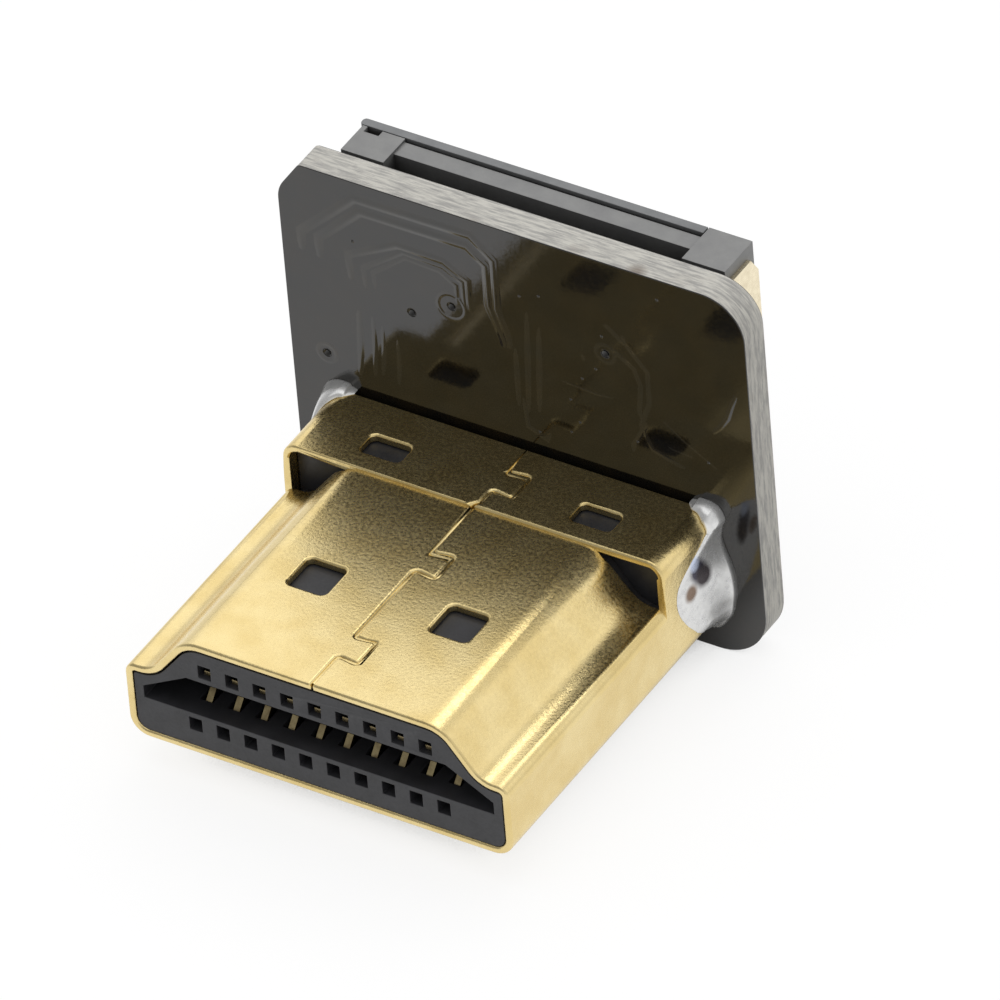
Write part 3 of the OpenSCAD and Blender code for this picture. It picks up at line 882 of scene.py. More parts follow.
def softened_copy(
    node: str,
    finish: Finish,
    width_mm: float,
    body: Body = Body.CONNECTOR,
    shaped: Callable[[bmesh.types.BMesh], None] | None = None,
    turned: Callable[[Edge], float] | None = None,
    wide: Callable[[Edge], float] | None = None,
) -> None:
    """Replaces a node by a copy whose edges are rounded as the real piece's are.

    Args:
        node: the node to copy.
        finish: the copy's finish.
        width_mm: width of the rounding.
        body: the body that carries it.
        shaped: changes the copy's mesh before its edges are rounded.
        turned: gives the radius of the outline's corners that are rounded first, or 0.
        wide: gives the width of a wider rounding along some edges, or 0.
    """
    mesh = bmesh.new()
    mesh.from_mesh(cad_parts[node].data)
    bmesh.ops.remove_doubles(mesh, verts=mesh.verts, dist=MERGE_MM * MM)
    flat = math.radians(FLAT_DEGREES)
    bmesh.ops.dissolve_limit(mesh, angle_limit=flat, verts=mesh.verts, edges=mesh.edges)
    if shaped is not None:
        shaped(mesh)
    if turned is not None:
        turn_corners(mesh, turned)
    if wide is not None:
        mark_edges(mesh, wide)
    copy = bpy.data.meshes.new(node + "_dressed")
    mesh.to_mesh(copy)
    mesh.free()
    made = placed(node + "_dressed", copy, finish, body)
    if wide is not None:
        round_marked(made)
    soften(made, width_mm)
    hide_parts(node)


def dress(node: str, finish: Finish) -> None:
    """Gives a node its finish and leaves its shape alone.

    Args:
        node: the node's name.
        finish: its finish.
    """
    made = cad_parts[node]
    made.data.materials.clear()
    made.data.materials.append(FINISHES.of(finish))
    LOG.info("node %s: %s", node, finish.name)


def ends_of(edge: Edge) -> tuple[Vector, Vector]:
    """Returns an edge's two ends in millimetres, in the row frame."""
    return edge.verts[0].co / MM, edge.verts[1].co / MM


def upright(edge: Edge) -> bool:
    """Tells whether an edge stands straight up."""
    a, b = ends_of(edge)
    return math.hypot(a.x - b.x, a.y - b.y) < SAME_PLACE


@dataclass(frozen=True)
class Trace:
    """A trace that shows through the mask: width, share of the usual rise, and points."""

    width: float
    share: float
    path: tuple[Point, ...]


@dataclass(frozen=True)
class Ring:
    """A soft ring in relief on the mask: centre, radius and height of its crest, half width."""

    centre: Point
    radius: float
    rise: float
    half_width: float = 0.12


@dataclass
class CircuitBoard:
    """The board: a glass-fibre core between two thin films of black mask, with traces in relief.

    Points on the board are over (x, height).
    """

    top_corner: float = 1.5
    low_corner: float = 1.8
    corner_steps: int = 14

    # The slanting cut across the upper left corner, with a tight and a wide rounding
    cut_width: float = 0.85
    cut_height: float = 1.2
    cut_tip: float = 0.2
    cut_corner: float = 1.2
    cut_steps: int = 6

    # The film's thickness, the layers' rounded rims, and how far two layers lie inside the outline
    mask: float = 0.035
    rim: float = 0.02
    rim_turns: tuple[int, ...] = (0, 30, 60, 90)
    core_inset: float = 0.01
    back_inset: float = 0.03
    flat_from: float = 0.999

    # The plated holes, and the outer and inner side of their linings, counted from the hole's wall
    via_radius: float = 0.16
    via_steps: int = 24
    lining_outside: float = 0.004
    lining_inside: float = 0.03

    # The relief, whose foot lies just inside the mask
    relief_foot: float = 0.002
    trace_rise: float = 0.022
    trace_columns: int = 9
    ring_columns: int = 7
    ring_steps: int = 36
    speck: float = 0.03

    vias: tuple[Point, ...] = ((-7.13, 5.73), (-3.8, 8.51), (-2.29, 9.28), (3.29, 9.39))
    rings: tuple[Ring, ...] = (
        Ring((-7.13, 5.73), 0.34, 0.01),
        Ring((-2.29, 9.28), 0.5, 0.012),
        Ring((3.29, 9.39), 0.34, 0.008),
    )
    specks: tuple[Point, ...] = (
        (-5.8, 10.65), (0.62, 5.3), (1.87, 7.05), (2.15, 6.23), (1.8, 5.72), (2.89, 8.63),
        (2.36, 8.06), (4.23, 6.21), (6.79, 6.29), (3.2, 10.04), (5.35, 12.25), (0.27, 10.6),
        (0.98, 10.85),
    )

    def traces(self) -> list[Trace]:
        """Lists the traces that show through the mask.

        Returns:
            The upper left bundle, its lower legs, the middle, the right, short stubs and a scratch.
        """
        return [
            Trace(0.2, 1.9, (
                (-7.73, 9.6), (-7.71, 10.41), (-5.63, 12.4), (-1.4, 12.43), (-0.59, 11.7),
                (-0.62, 9.77), (-0.31, 8.76), (-0.3, 8.3),
            )),
            Trace(0.2, 1.9, (
                (-7.09, 9.5), (-7.07, 10.37), (-5.45, 11.93), (-1.56, 11.95), (-0.88, 11.4),
                (-0.89, 9.81), (-0.47, 8.64), (-0.45, 8.3),
            )),
            Trace(0.17, 1.6, (
                (-5.98, 9.0), (-6.01, 10.05), (-4.17, 11.06), (-2.48, 11.03), (-1.61, 10.54),
                (-1.62, 9.68), (-1.62, 9.3),
            )),
            Trace(0.13, 0.9, (
                (-5.45, 8.8), (-5.49, 9.7), (-3.98, 10.85), (-2.5, 10.8), (-1.81, 10.41),
                (-1.8, 9.68), (-1.8, 9.4),
            )),
            Trace(0.13, 0.5, (
                (-5.09, 8.8), (-5.13, 9.63), (-3.9, 10.66), (-2.64, 10.58), (-2.06, 10.19),
                (-2.05, 9.6), (-2.05, 9.4),
            )),
            Trace(0.17, 1.1, ((-5.97, 5.08), (-5.82, 6.7), (-5.77, 8.0))),
            Trace(0.13, 0.9, ((-5.41, 5.21), (-5.3, 6.7), (-5.27, 8.0))),
            Trace(0.13, 0.6, ((-5.13, 5.31), (-4.97, 6.6), (-4.95, 7.8))),
            Trace(0.12, 0.6, ((-4.55, 5.2), (-4.45, 6.1), (-4.4, 7.4))),
            Trace(0.15, 0.6, ((-0.1, 5.88), (-0.06, 7.2), (-0.02, 8.67))),
            Trace(0.16, 0.6, ((0.22, 5.54), (0.38, 8.0), (0.53, 10.46))),
            Trace(0.16, 0.6, ((0.62, 5.76), (0.78, 7.8), (0.94, 9.92))),
            Trace(0.13, 0.6, ((0.1, 6.72), (0.21, 5.38), (0.88, 5.08), (1.05, 5.45))),
            Trace(0.16, 0.25, (
                (3.4, 9.75), (3.65, 9.59), (4.3, 9.14), (4.5, 8.53), (4.39, 7.49), (4.56, 6.94),
                (4.07, 6.0), (4.0, 5.6),
            )),
            Trace(0.16, 0.25, (
                (3.2, 10.6), (3.44, 10.51), (4.09, 9.98), (4.79, 9.16), (4.77, 7.93), (4.41, 6.89),
                (4.77, 6.1), (5.65, 5.8), (6.1, 5.7),
            )),
            Trace(0.13, 0.12, ((4.75, 6.7), (5.48, 6.36), (6.17, 6.3), (6.5, 6.25))),
            Trace(0.13, 0.12, ((5.0, 7.5), (5.28, 7.35), (5.86, 6.88), (7.05, 6.16), (7.3, 6.0))),
            Trace(0.1, 0.6, ((3.98, 10.4), (4.0, 10.2), (4.02, 10.03))),
            Trace(0.09, 0.6, ((2.43, 9.08), (2.45, 8.95), (2.48, 8.8))),
            Trace(0.05, 0.5, ((1.43, 7.73), (2.26, 7.65), (2.81, 7.61), (3.64, 7.68))),
            Trace(0.12, 2.0, ((8.0, 9.4), (7.79, 8.87), (7.62, 8.35), (7.31, 7.86), (7.01, 7.56))),
        ]

    def outline(self, shrink: float) -> list[Point]:
        """Returns the board's outline, anticlockwise.

        Args:
            shrink: distance that the outline moves inwards.

        Returns:
            The outline's points.
        """
        half = LAYOUT.board_half - shrink
        low = LAYOUT.board_low + shrink
        high = LAYOUT.board_high - shrink
        big = self.low_corner - shrink
        small = self.top_corner - shrink
        slant = math.degrees(math.atan2(self.cut_height, self.cut_width))
        tip = (-LAYOUT.board_half + self.cut_width, LAYOUT.board_high)
        foot = (-LAYOUT.board_half, LAYOUT.board_high - self.cut_height)
        tip = (tip[0] + shrink * math.tan(math.radians(slant / 2)), tip[1] - shrink)
        foot = (foot[0] + shrink, foot[1] - shrink * math.tan(math.radians((90 - slant) / 2)))
        return (
            arc((half - big, low + big), big, -90, 0, self.corner_steps)
            + arc((half - small, high - small), small, 0, 90, self.corner_steps)
            + bend(tip, 90, 90 + slant, self.cut_tip, self.cut_steps)
            + bend(foot, 90 + slant, 180, self.cut_corner - shrink, self.cut_steps)
            + arc((-half + big, low + big), big, 180, 270, self.corner_steps)
        )

    def levels(self, y0: float, y1: float) -> list[tuple[float, float]]:
        """Returns a layer's levels from front to back, with a round rim on its outer sides.

        Args:
            y0: its front face.
            y1: its back face.

        Returns:
            Each level's place and how far it lies inside the layer's outline.
        """
        r = self.rim
        turns = [math.radians(a) for a in self.rim_turns]
        front = [(y0 + r * (1 - math.sin(a)), r * (1 - math.cos(a))) for a in reversed(turns)]
        rear = [(y1 - r * (1 - math.sin(a)), r * (1 - math.cos(a))) for a in turns]
        if y1 - y0 > 4 * r:
            return front + rear
        if y0 < LAYOUT.board_front + r:
            return [*front, (y1, 0.0)]
        return [(y0, 0.0), *rear]

    def plate(
        self, name: str, y0: float, y1: float, finish: Finish, shrink: float = 0.0
    ) -> bpy.types.Object:
        """Builds one layer of the board, with its holes.

        Args:
            name: the layer's name.
            y0: its front face.
            y1: its back face.
            finish: its finish.
            shrink: distance that its outline lies inside the board's.

        Returns:
            The layer.
        """
        rows = []
        for y, inset in self.levels(y0, y1):
            radius = self.via_radius + inset
            holes = [circle(via, radius, self.via_steps, -1) for via in self.vias]
            rows.append((y, [self.outline(shrink + inset), *holes]))
        loops = rows[0][1]
        count = sum(len(loop) for loop in loops)
        behind = (len(rows) - 1) * count
        caps = tessellate_polygon([[Vector((x, z, 0)) for x, z in loop] for loop in loops])
        verts = [at(x, y, z) for y, row in rows for loop in row for x, z in loop]
        faces = [list(cap) for cap in caps]
        faces += [[i + behind for i in reversed(cap)] for cap in caps]
        for level in range(len(rows) - 1):
            start = level * count
            for loop in loops:
                for k in range(len(loop)):
                    a, b = start + k, start + (k + 1) % len(loop)
                    faces.append([a, b, b + count, a + count])
                start += len(loop)
        made = piece(name, (verts, faces), finish)
        with opened(made) as mesh:
            bmesh.ops.recalc_face_normals(mesh, faces=mesh.faces)
            for face in mesh.faces:
                face.smooth = abs(face.normal.y) < self.flat_from
        return made

    def linings(self) -> None:
        """Builds the dark linings of the small plated holes: partly mask in the holes, partly
        painted shade inside them.
        """
        front, back = LAYOUT.board_front + self.mask / 2, LAYOUT.board_back - self.mask / 2
        wide, tight = self.via_radius - self.lining_outside, self.via_radius - self.lining_inside
        loops = ((front, wide), (front, tight), (back, tight), (back, wide))
        shapes = []
        for via in self.vias:
            verts = [at(x, y, z) for y, r in loops for x, z in circle(via, r, self.via_steps)]
            shapes.append((verts, net(len(loops), self.via_steps, True, True)))
        piece("hole_linings", joined(shapes), MASK)

    def on_mask(self, x: float, height: float, rise: float) -> Vector:
        """Returns a place of the relief, counted from its foot, which is just inside the mask."""
        return at(x, LAYOUT.board_front + self.relief_foot - rise, height)

    def ridge(self, trace: Trace) -> Shape:
        """Builds one trace's soft ridge on the mask, which runs out at both ends.

        Args:
            trace: the trace.

        Returns:
            Corners and faces.
        """
        last = len(trace.path) - 1
        verts = []
        for i, ((x, z), side) in enumerate(zip(trace.path, mitres(trace.path))):
            share = 0.0 if i in (0, last) else trace.share
            for t in spread(self.trace_columns):
                out = side * t * trace.width
                verts.append(self.on_mask(x + out.x, z + out.y, share * swell(t) * self.trace_rise))
        return verts, net(last + 1, self.trace_columns)

    def ring(self, ring: Ring) -> Shape:
        """Builds a soft ring on the mask.

        Args:
            ring: its sizes.

        Returns:
            Corners and faces.
        """
        x, z = ring.centre
        verts = []
        for k in range(self.ring_steps):
            a = 2 * math.pi * k / self.ring_steps
            for t in spread(self.ring_columns):
                r = ring.radius + t * ring.half_width
                rise = ring.rise * swell(t)
                verts.append(self.on_mask(x + r * math.cos(a), z + r * math.sin(a), rise))
        return verts, net(self.ring_steps, self.ring_columns, round_rows=True)

    def relief(self) -> None:
        """Builds all traces, rings and pimples as one piece on the front mask, facing forward."""
        size = self.speck
        shapes = [self.ridge(trace) for trace in self.traces()]
        shapes += [self.ring(ring) for ring in self.rings]
        shapes += [self.ring(Ring(place, size, size, size)) for place in self.specks]
        with opened(piece("trace_relief", joined(shapes), COVERED_COPPER)) as mesh:
            bmesh.ops.recalc_face_normals(mesh, faces=mesh.faces)
            for face in mesh.faces:
                if face.normal.y > 0:
                    face.normal_flip()

    def build(self) -> None:
        """Builds the board's layers, its linings and its relief."""
        front, back = LAYOUT.board_front, LAYOUT.board_back
        core = self.plate("board_core", front + self.mask, back - self.mask, EDGE, self.core_inset)
        self.plate("front_mask", front, front + self.mask, MASK)
        self.plate("back_mask", back - self.mask, back, MASK, self.back_inset)
        self.linings()
        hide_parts("board")
        self.relief()


Station = tuple[float, float, float, float]


@dataclass
class SolderJoint:
    """A large joint between the shell's side and the board: a hollow fillet with a blob on top.

    Each station gives a place along the box's outline (-1 to 0 on the top, 0 to 1 top bend, 1 to 2
    side, 2 to 3 bottom bend), a share of the width, a share of the reach, and a roundness.
    """

    side: Side
    width: float = 0.6
    reach: float = 2.75

    # How far it reaches over the box's top, and how far its inner side stands off the box
    over: float = 0.25
    skin: float = 0.006

    # The hollow fillet: the share of its width that falls away steeply at the board
    foot: float = 0.4
    steepness: float = 5.0

    # The mesh, and how many places to each side a station's shares are evened out over
    rings: int = 170
    steps: int = 24
    even_step: float = 0.02
    even_count: int = 3

    right_shape: tuple[Station, ...] = (
        (-1.0, 0.06, 0.08, 1.0), (-0.3, 0.14, 0.15, 1.0), (0.2, 0.4, 0.18, 1.0),
        (0.5, 0.63, 0.24, 1.0), (0.85, 0.57, 0.25, 1.0), (1.0, 0.36, 0.26, 0.8),
        (1.1, 0.24, 0.54, 0.4), (1.2, 0.22, 0.84, 0.2), (1.3, 0.4, 0.95, 0.0),
        (1.45, 0.72, 0.97, 0.0), (1.6, 0.9, 0.92, 0.0), (1.8, 0.94, 0.78, 0.0),
        (2.0, 0.7, 0.58, 0.0), (2.4, 0.55, 0.4, 0.0), (2.8, 0.8, 0.26, 0.2), (3.0, 0.7, 0.18, 0.4),
    )
    left_shape: tuple[Station, ...] = (
        (-1.0, 0.06, 0.08, 1.0), (-0.2, 0.17, 0.16, 1.0), (0.2, 0.43, 0.22, 1.0),
        (0.6, 0.72, 0.36, 0.8), (1.0, 0.82, 0.55, 0.4), (1.2, 1.08, 0.7, 0.1),
        (1.4, 1.15, 0.8, 0.0), (1.6, 1.15, 0.8, 0.0), (1.8, 1.1, 0.72, 0.0),
        (2.0, 0.95, 0.56, 0.0), (2.4, 0.8, 0.4, 0.0), (2.8, 0.7, 0.26, 0.2), (3.0, 0.5, 0.16, 0.4),
    )

    def stations(self) -> tuple[Station, ...]:
        """Returns this side's stations."""
        return self.right_shape if self.side is Side.RIGHT else self.left_shape

    def shares(self, t: float) -> tuple[float, float, float]:
        """Returns what the stations say about a place, evened out along the outline.

        Args:
            t: the place along the outline.

        Returns:
            The share of the width, the share of the reach and the roundness.
        """
        shape = self.stations()
        totals = [0.0, 0.0, 0.0]
        for k in range(-self.even_count, self.even_count + 1):
            place = min(max(t + self.even_step * k, shape[0][0]), shape[-1][0])
            a, b = next((a, b) for a, b in zip(shape, shape[1:]) if place <= b[0])
            for n in range(3):
                step = (b[n + 1] - a[n + 1]) * (place - a[0]) / (b[0] - a[0])
                totals[n] += a[n + 1] + step
        width, reach, roundness = (total / (2 * self.even_count + 1) for total in totals)
        return width, reach, roundness

    def outline(self, t: float) -> tuple[Vector, Vector]:
        """Returns a point of the box's outline and the way out of it.

        Args:
            t: the place along the outline.

        Returns:
            The point and the unit vector over (x, height).
        """
        half, corner = LAYOUT.shell_width / 2, LAYOUT.box_corner
        high, low = LAYOUT.box_height - corner, LAYOUT.low_corner
        if t < 0:
            return Vector((half - corner + t * self.over, LAYOUT.box_height)), Vector((0, 1))
        if t < 1:
            a = math.radians(90 * (1 - t))
            out = Vector((math.cos(a), math.sin(a)))
            return Vector((half - corner, high)) + out * corner, out
        if t < 2:
            return Vector((half, high + (low - high) * (t - 1))), Vector((1, 0))
        a = math.radians(-90 * (t - 2))
        out = Vector((math.cos(a), math.sin(a)))
        return Vector((half - low, low)) + out * low, out

    def rise(self, s: float, roundness: float) -> float:
        """Returns the joint's height over its foot, as a share of its width.

        Args:
            s: share of the joint's reach, counted from the board.
            roundness: 0 for a hollow fillet, steep close to the board, and 1 for a round blob.

        Returns:
            The share.
        """
        hollow = (1 - self.foot) * (1 - s) + self.foot * (1 - s) ** self.steepness
        return hollow * (1 - roundness) + math.sqrt(max(0.0, 1 - s * s)) * roundness

    def build(self) -> None:
        """Builds the joint and lets it replace its node."""
        start, end = self.stations()[0][0], self.stations()[-1][0]
        sign = self.side.value
        verts = []
        for j in range(self.rings + 1):
            t = (end - start) * j / self.rings + start
            point, out = self.outline(t)
            width_share, reach_share, roundness = self.shares(t)
            width, reach = self.width * width_share, self.reach * reach_share
            base = point + out * self.skin
            for k in range(self.steps + 1):
                s = math.sin(math.pi / 2 * k / self.steps)
                place = base + out * width * self.rise(s, roundness)
                verts.append(at(sign * place.x, LAYOUT.board_front - reach * s, place.y))
            verts.append(at(sign * base.x, LAYOUT.board_front, base.y))
        row = self.steps + 2
        faces = net(self.rings + 1, row, round_columns=True)
        faces += [list(range(row)), [self.rings * row + k for k in range(row)]]
        node = "solder_joint_" + self.side.name.lower()
        made = piece(node + "_dressed", (verts, faces), SOLDER)
        with opened(made) as mesh:
            bmesh.ops.recalc_face_normals(mesh, faces=mesh.faces)
        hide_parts(node)


@dataclass
class Plug:
    """The plug: folded shell, two insulators and nineteen contacts.

    The seam runs along the shell's top, round three tabs, and points on it are over (x, y).
    """

    contacts: int = 19

    # Widths of the roundings, and the height from which the box's front edge is a cut one
    shell_edge: float = 0.02
    plastic_edge: float = 0.03
    cut_edge: float = 0.1
    seam_edge: float = 0.12
    box_cut_from: float = 3.1

    # Where the tabs' corners are found: near the seam, off the shell's ends and the box's front,
    # and so far above the plug's middle
    seam_half: float = 1.4
    seam_margin: float = 0.5
    step_margin: float = 0.4
    top_from: float = 1.5

    # The seam's floor, which starts behind the mouth and is broken at the box's front
    groove_deep: float = 0.055
    groove_thick: float = 0.05
    groove_width: float = 0.24
    groove_start: float = 0.15
    groove_break: Span = (0.03, 0.28)
    groove_short: float = 0.1

    # The tabs, the radius of their corners, and the least turn in degrees that is a corner
    tab_places: tuple[Point, ...] = ((0.0, 1.5), (0.0, 6.1), (0.2, 10.4))
    tab_length: float = 1.2
    tab_reach: float = 0.8
    tab_undercut: float = 0.12
    tab_corner: float = 0.16
    tab_turn: float = 40.0
    seam_gap: float = 0.05

    # How far each tab's rear side is drawn forward, and how far off the seam's path it is found
    tab_slack: tuple[float, ...] = (0.0, 0.16, 0.12)
    slack_near: Point = (0.04, 0.07)

    def tab_path(self, number: int) -> list[Point]:
        """Returns the four corners of one tab's part of the seam.

        Args:
            number: the tab's number, counted from the mouth.

        Returns:
            Its corners, from front to rear.
        """
        x, y = self.tab_places[number]
        reach, length, cut = self.tab_reach, self.tab_length, self.tab_undercut
        return [(x, y + cut), (x + reach, y), (x + reach, y + length), (x, y + length - cut)]

    def shorten_tabs(self, mesh: bmesh.types.BMesh) -> None:
        """Draws the rear sides of the tabs forward, where the real ones leave a wider gap.

        Args:
            mesh: the shell's mesh.
        """
        near_x, near_y = self.slack_near
        for number, slack in enumerate(self.tab_slack):
            rear = self.tab_path(number)[2:]
            for vert in mesh.verts:
                x, y = vert.co.x / MM, vert.co.y / MM
                for px, py in reversed(rear):
                    if -near_x < x - px < 0 and -near_y < y - py < 0 and vert.co.z > 0:
                        vert.co.y -= slack * MM

    def tab_corners(self, edge: Edge) -> float:
        """Returns the rounding of the corners of the seam's tabs, seen from above.

        Args:
            edge: an edge of the shell.

        Returns:
            The radius, or 0 for all other edges.
        """
        a, b = ends_of(edge)
        on_top = min(a.z, b.z) > self.top_from and abs(a.x) < self.seam_half
        along = self.seam_margin < a.y < LAYOUT.box_end - self.seam_margin
        by_step = abs(a.y - LAYOUT.box_start) < self.step_margin
        if not (upright(edge) and on_top and along) or by_step or len(edge.link_faces) != 2:
            return 0.0
        angle = edge.calc_face_angle_signed()
        if abs(angle) < math.radians(self.tab_turn):
            return 0.0
        return self.tab_corner + (self.seam_gap if angle < 0 else 0.0)

    def cut_edges(self, edge: Edge) -> float:
        """Returns the rounding of the shell's stamped edges: mouth, seam, windows and box front.

        Args:
            edge: an edge of the shell.

        Returns:
            The rounding's width, or 0 for all other edges.
        """
        a, b = ends_of(edge)
        front, rear, low = min(a.y, b.y), max(a.y, b.y), min(a.z, b.z)
        on_top = low > LAYOUT.height(LAYOUT.shell_height) - SAME_PLACE
        at_box = max(LAYOUT.box_start - front, rear - LAYOUT.box_start) < SAME_PLACE
        if on_top and SAME_PLACE < rear < LAYOUT.box_end - SAME_PLACE:
            by_seam = max(abs(a.x), abs(b.x)) < self.seam_half and front > SAME_PLACE
            return self.seam_edge if by_seam else self.cut_edge
        if rear < SAME_PLACE or (at_box and low > LAYOUT.height(self.box_cut_from)):
            return self.cut_edge
        return 0.0

    def groove(self) -> None:
        """Builds the seam's floor: the sheet's two edges meet below the surface."""
        nose_x, box_x = self.tab_places[0][0], self.tab_places[2][0]
        before, behind = self.groove_break
        nose_end, box_start = LAYOUT.box_start - before, LAYOUT.box_start + behind
        box_end = LAYOUT.box_end - self.groove_short
        first, second, third = (self.tab_path(number) for number in range(3))
        nose = [(nose_x, self.groove_start), *first, *second, (nose_x, nose_end)]
        box = [(box_x, box_start), *third, (box_x, box_end)]
        top, bottom = self.groove_deep, self.groove_deep + self.groove_thick
        section = ((0.5, top), (-0.5, top), (-0.5, bottom), (0.5, bottom))
        shapes = []
        for path, height in ((nose, LAYOUT.shell_height), (box, LAYOUT.box_height)):
            verts = []
            for share, deep in section:
                for (x, y), side in zip(path, mitres(path)):
                    out = side * share * self.groove_width
                    verts.append(at(x + out.x, y + out.y, height - deep))
            shapes.append((verts, net(len(section), len(path), round_rows=True)))
        piece("seam_groove", joined(shapes), GOLD)

    def build(self) -> None:
        """Dresses the plug's nodes and builds its groove."""
        softened_copy(
            "plug_shell",
            GOLD,
            self.shell_edge,
            shaped=self.shorten_tabs,
            turned=self.tab_corners,
            wide=self.cut_edges,
        )
        self.groove()
        softened_copy("front_insulator", PLUG_PLASTIC, self.plastic_edge)
        dress("rear_insulator", PLUG_PLASTIC)
        for number in range(1, self.contacts + 1):
            dress(f"plug_contact_{number:02d}", CONTACT_GOLD)
        dress("tail_solder", SOLDER)


@dataclass
class CableSocket:
    """The flat-cable socket on the board's back, with its lid."""

    ways: int = 20
    edge: float = 0.03
    finger_corner: float = 0.13
    finger_end: float = -7.1

    def finger_corners(self, edge: Edge) -> float:
        """Returns the rounding of the end of the lid's finger tab, or 0 for all other edges."""
        at_end = abs(ends_of(edge)[0].x - self.finger_end) < SAME_PLACE
        return self.finger_corner if upright(edge) and at_end else 0.0

    def build(self) -> None:
        """Dresses the socket's nodes."""
        softened_copy("ffc_housing", SOCKET_PLASTIC, self.edge)
        softened_copy("ffc_lid", LID_PLASTIC, self.edge, Body.LID, turned=self.finger_corners)
        for number in range(1, self.ways + 1):
            dress(f"ffc_contact_{number:02d}", TINNED)
        dress("ffc_anchor_left", ANCHOR)
        dress("ffc_anchor_right", ANCHOR)
        dress("ffc_solder", SOLDER)


@dataclass(frozen=True)
class Lamp:
    """One square studio lamp, with its place and size in metres."""

    name: str
    place: Place
    size: float
    level: float

    def build(self, target: Vector) -> None:
        """Makes the lamp and turns it to the part.

        Args:
            target: the place that it lights.
        """
        data = bpy.data.lights.new(self.name, "AREA")
        data.shape = "SQUARE"
        data.size = self.size
        data.energy = self.level * math.pi * self.size**2
        made = bpy.data.objects.new(self.name, data)
        bpy.context.scene.collection.objects.link(made)
        made.location = self.place
        made.rotation_mode = "QUATERNION"
        made.rotation_quaternion = (target - Vector(self.place)).to_track_quat("-Z", "Y")


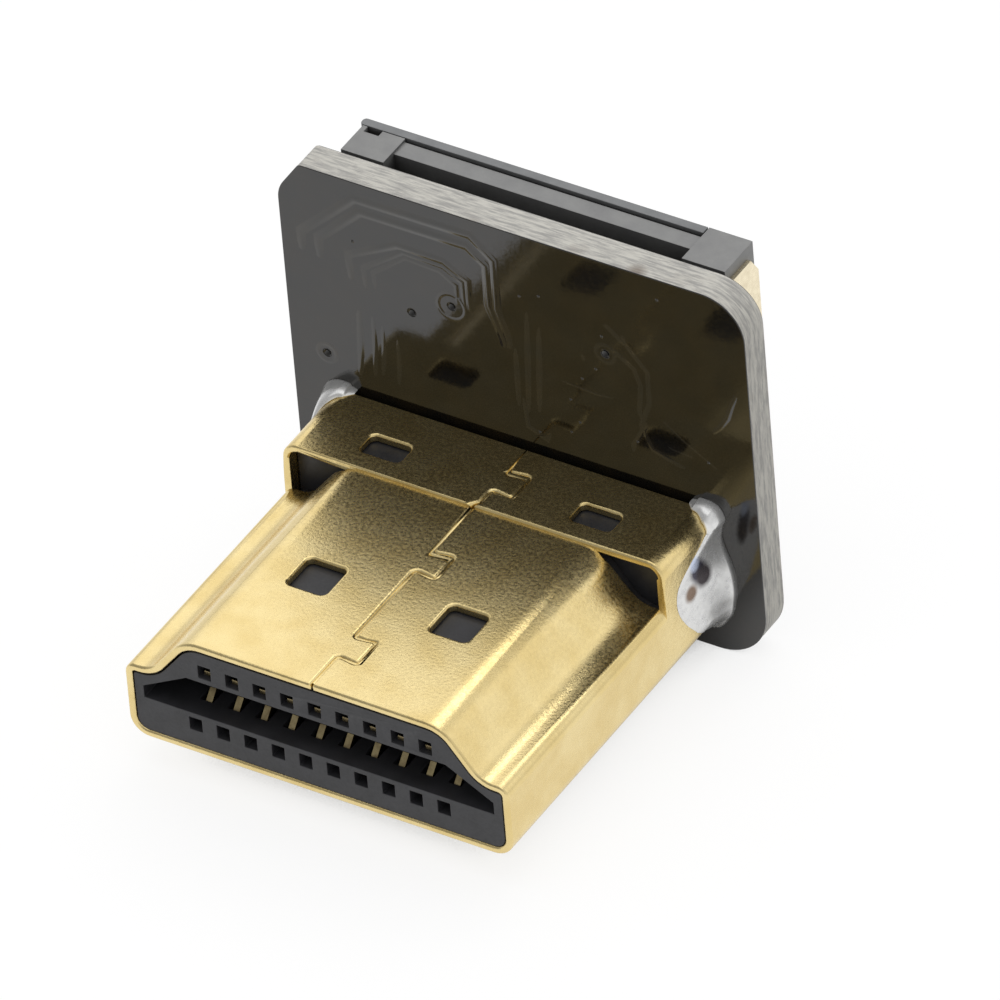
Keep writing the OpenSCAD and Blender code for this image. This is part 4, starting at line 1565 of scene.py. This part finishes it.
@dataclass
class Studio:
    """The white floor, the soft light and the camera, which stands as the photograph's did."""

    # The camera: its angles, where the plug's mouth lies in its picture, and its distance and scale
    azimuth: float = 34.11008
    elevation: float = 39.10933
    roll: float = -4.97019
    right_mm: float = -5.53146
    up_mm: float = -9.12932
    distance_mm: float = 598.43638
    px_per_mm: float = 32.33762
    image_px: float = 1000.0
    sensor_mm: float = 36.0
    clip_m: Span = (0.01, 10.0)

    # The floor: its colour for the rays that light the part and for the others, and its shadow
    floor_half_m: float = 0.9
    floor_lighting: Colour = (0.62, 0.62, 0.62)
    floor_matt: Colour = (0.22, 0.22, 0.22)
    floor_glow: float = 0.83
    shadow_mm: float = 12.0
    mirrored_shadow: Span = (0.03, 0.5)
    camera_shadow: Span = (0.02, 0.15)

    # The world: its level at the horizon and overhead, and the dimmer room in front
    sky: Span = (0.4, 0.9)
    room_side: Place = (-0.435, -0.642, 0.631)
    room_span: Span = (0.2, 0.9)
    room_level: float = 0.4

    lit_place_m: Place = (0.0, 0.007, 0.0)
    lamps: tuple[Lamp, ...] = (
        Lamp("back_lamp", (-0.3, 0.45, 0.46), 0.6, 0.45),
        Lamp("side_lamp", (0.4, 0.4, 0.28), 0.35, 0.3),
        Lamp("top_lamp", (0.0, 0.0, 0.7), 0.6, 0.7),
        Lamp("ridge_lamp", (0.0, 0.39, 0.46), 0.22, 1.4),
    )

    def camera(self) -> None:
        """Makes the camera."""
        a, e, r = (math.radians(v) for v in (self.azimuth, self.elevation, self.roll))
        back = Vector((math.sin(a) * math.cos(e), -math.cos(a) * math.cos(e), math.sin(e)))
        flat = Vector((math.cos(a), math.sin(a), 0.0))
        rise = back.cross(flat)
        right = flat * math.cos(r) + rise * math.sin(r)
        up = rise * math.cos(r) - flat * math.sin(r)
        place = back * self.distance_mm - right * self.right_mm - up * self.up_mm
        place.z = LAYOUT.height(place.z)
        data = bpy.data.cameras.new("camera")
        data.sensor_width = self.sensor_mm
        data.lens = self.px_per_mm * self.distance_mm / self.image_px * self.sensor_mm
        data.clip_start, data.clip_end = self.clip_m
        made = bpy.data.objects.new("camera", data)
        bpy.context.scene.collection.objects.link(made)
        turn = Matrix((right, up, back)).transposed().to_4x4()
        made.matrix_world = Matrix.Translation(place * MM) @ turn
        bpy.context.scene.camera = made

    def floor_material(self) -> bpy.types.Material:
        """Makes the floor's material, which glows for the rays that see it, but not in shadow.

        Returns:
            The material.
        """
        g = Graph.of_material("studio_floor")
        seen = g.seen()
        colour = g.blend(seen, self.floor_lighting, self.floor_matt)
        matt = g.add("ShaderNodeBsdfDiffuse", {"Color": colour})
        openness = g.openness(self.shadow_mm)
        mirrored = g.ramp(openness, self.mirrored_shadow)
        free = g.blend(g.camera_ray(), mirrored, g.ramp(openness, self.camera_shadow))
        strength = g.math("MULTIPLY", g.math("MULTIPLY", seen, self.floor_glow), free)
        glow = g.add("ShaderNodeEmission", {"Strength": strength})
        g.end(g.add("ShaderNodeAddShader", {0: matt.outputs[0], 1: glow.outputs[0]}))
        return g.owner

    def floor(self) -> None:
        """Makes the floor, which is white to the camera and keeps the part's shadow."""
        h = self.floor_half_m
        z = LAYOUT.height(LAYOUT.board_low) * MM
        mesh = bpy.data.meshes.new("studio_floor")
        mesh.from_pydata([(-h, -h, z), (h, -h, z), (h, h, z), (-h, h, z)], [], [[0, 1, 2, 3]])
        mesh.materials.append(self.floor_material())
        made = bpy.data.objects.new("studio_floor", mesh)
        bpy.context.scene.collection.objects.link(made)

    def world(self) -> None:
        """Makes the world's light: white where it is seen, and soft where it lights the part.

        What gloss sees is dimmer towards the room in front.
        """
        world = bpy.data.worlds.new("studio")
        bpy.context.scene.world = world
        g = Graph(world)
        way = g.add("ShaderNodeTexCoord").outputs["Generated"]
        inputs = {0: way, 1: self.room_side}
        facing = g.add("ShaderNodeVectorMath", inputs, operation="DOT_PRODUCT")
        room = g.ramp(facing.outputs["Value"], self.room_span, (1.0, self.room_level))
        seen = g.seen()
        white = g.math("MAXIMUM", g.camera_ray(), g.math("MULTIPLY", seen, room))
        up = g.add("ShaderNodeSeparateXYZ", {0: way}).outputs["Z"]
        unseen = g.math("SUBTRACT", 1.0, seen)
        soft = g.math("MULTIPLY", unseen, g.ramp(up, (0.0, 1.0), self.sky))
        strength = g.math("ADD", white, soft)
        g.end(g.add("ShaderNodeBackground", {"Strength": strength}), "ShaderNodeOutputWorld")

    def build(self) -> None:
        """Makes the whole studio."""
        bpy.context.scene.view_settings.view_transform = "Standard"
        self.camera()
        self.floor()
        self.world()
        for lamp in self.lamps:
            lamp.build(Vector(self.lit_place_m))


def main() -> None:
    """Builds the studio and then each sub-assembly in turn."""
    logging.basicConfig(level=logging.INFO, format="%(name)s: %(message)s")
    Studio().build()
    Plug().build()
    CircuitBoard().build()
    for side in Side:
        SolderJoint(side).build()
    CableSocket().build()


if __name__ == "__main__":
    main()
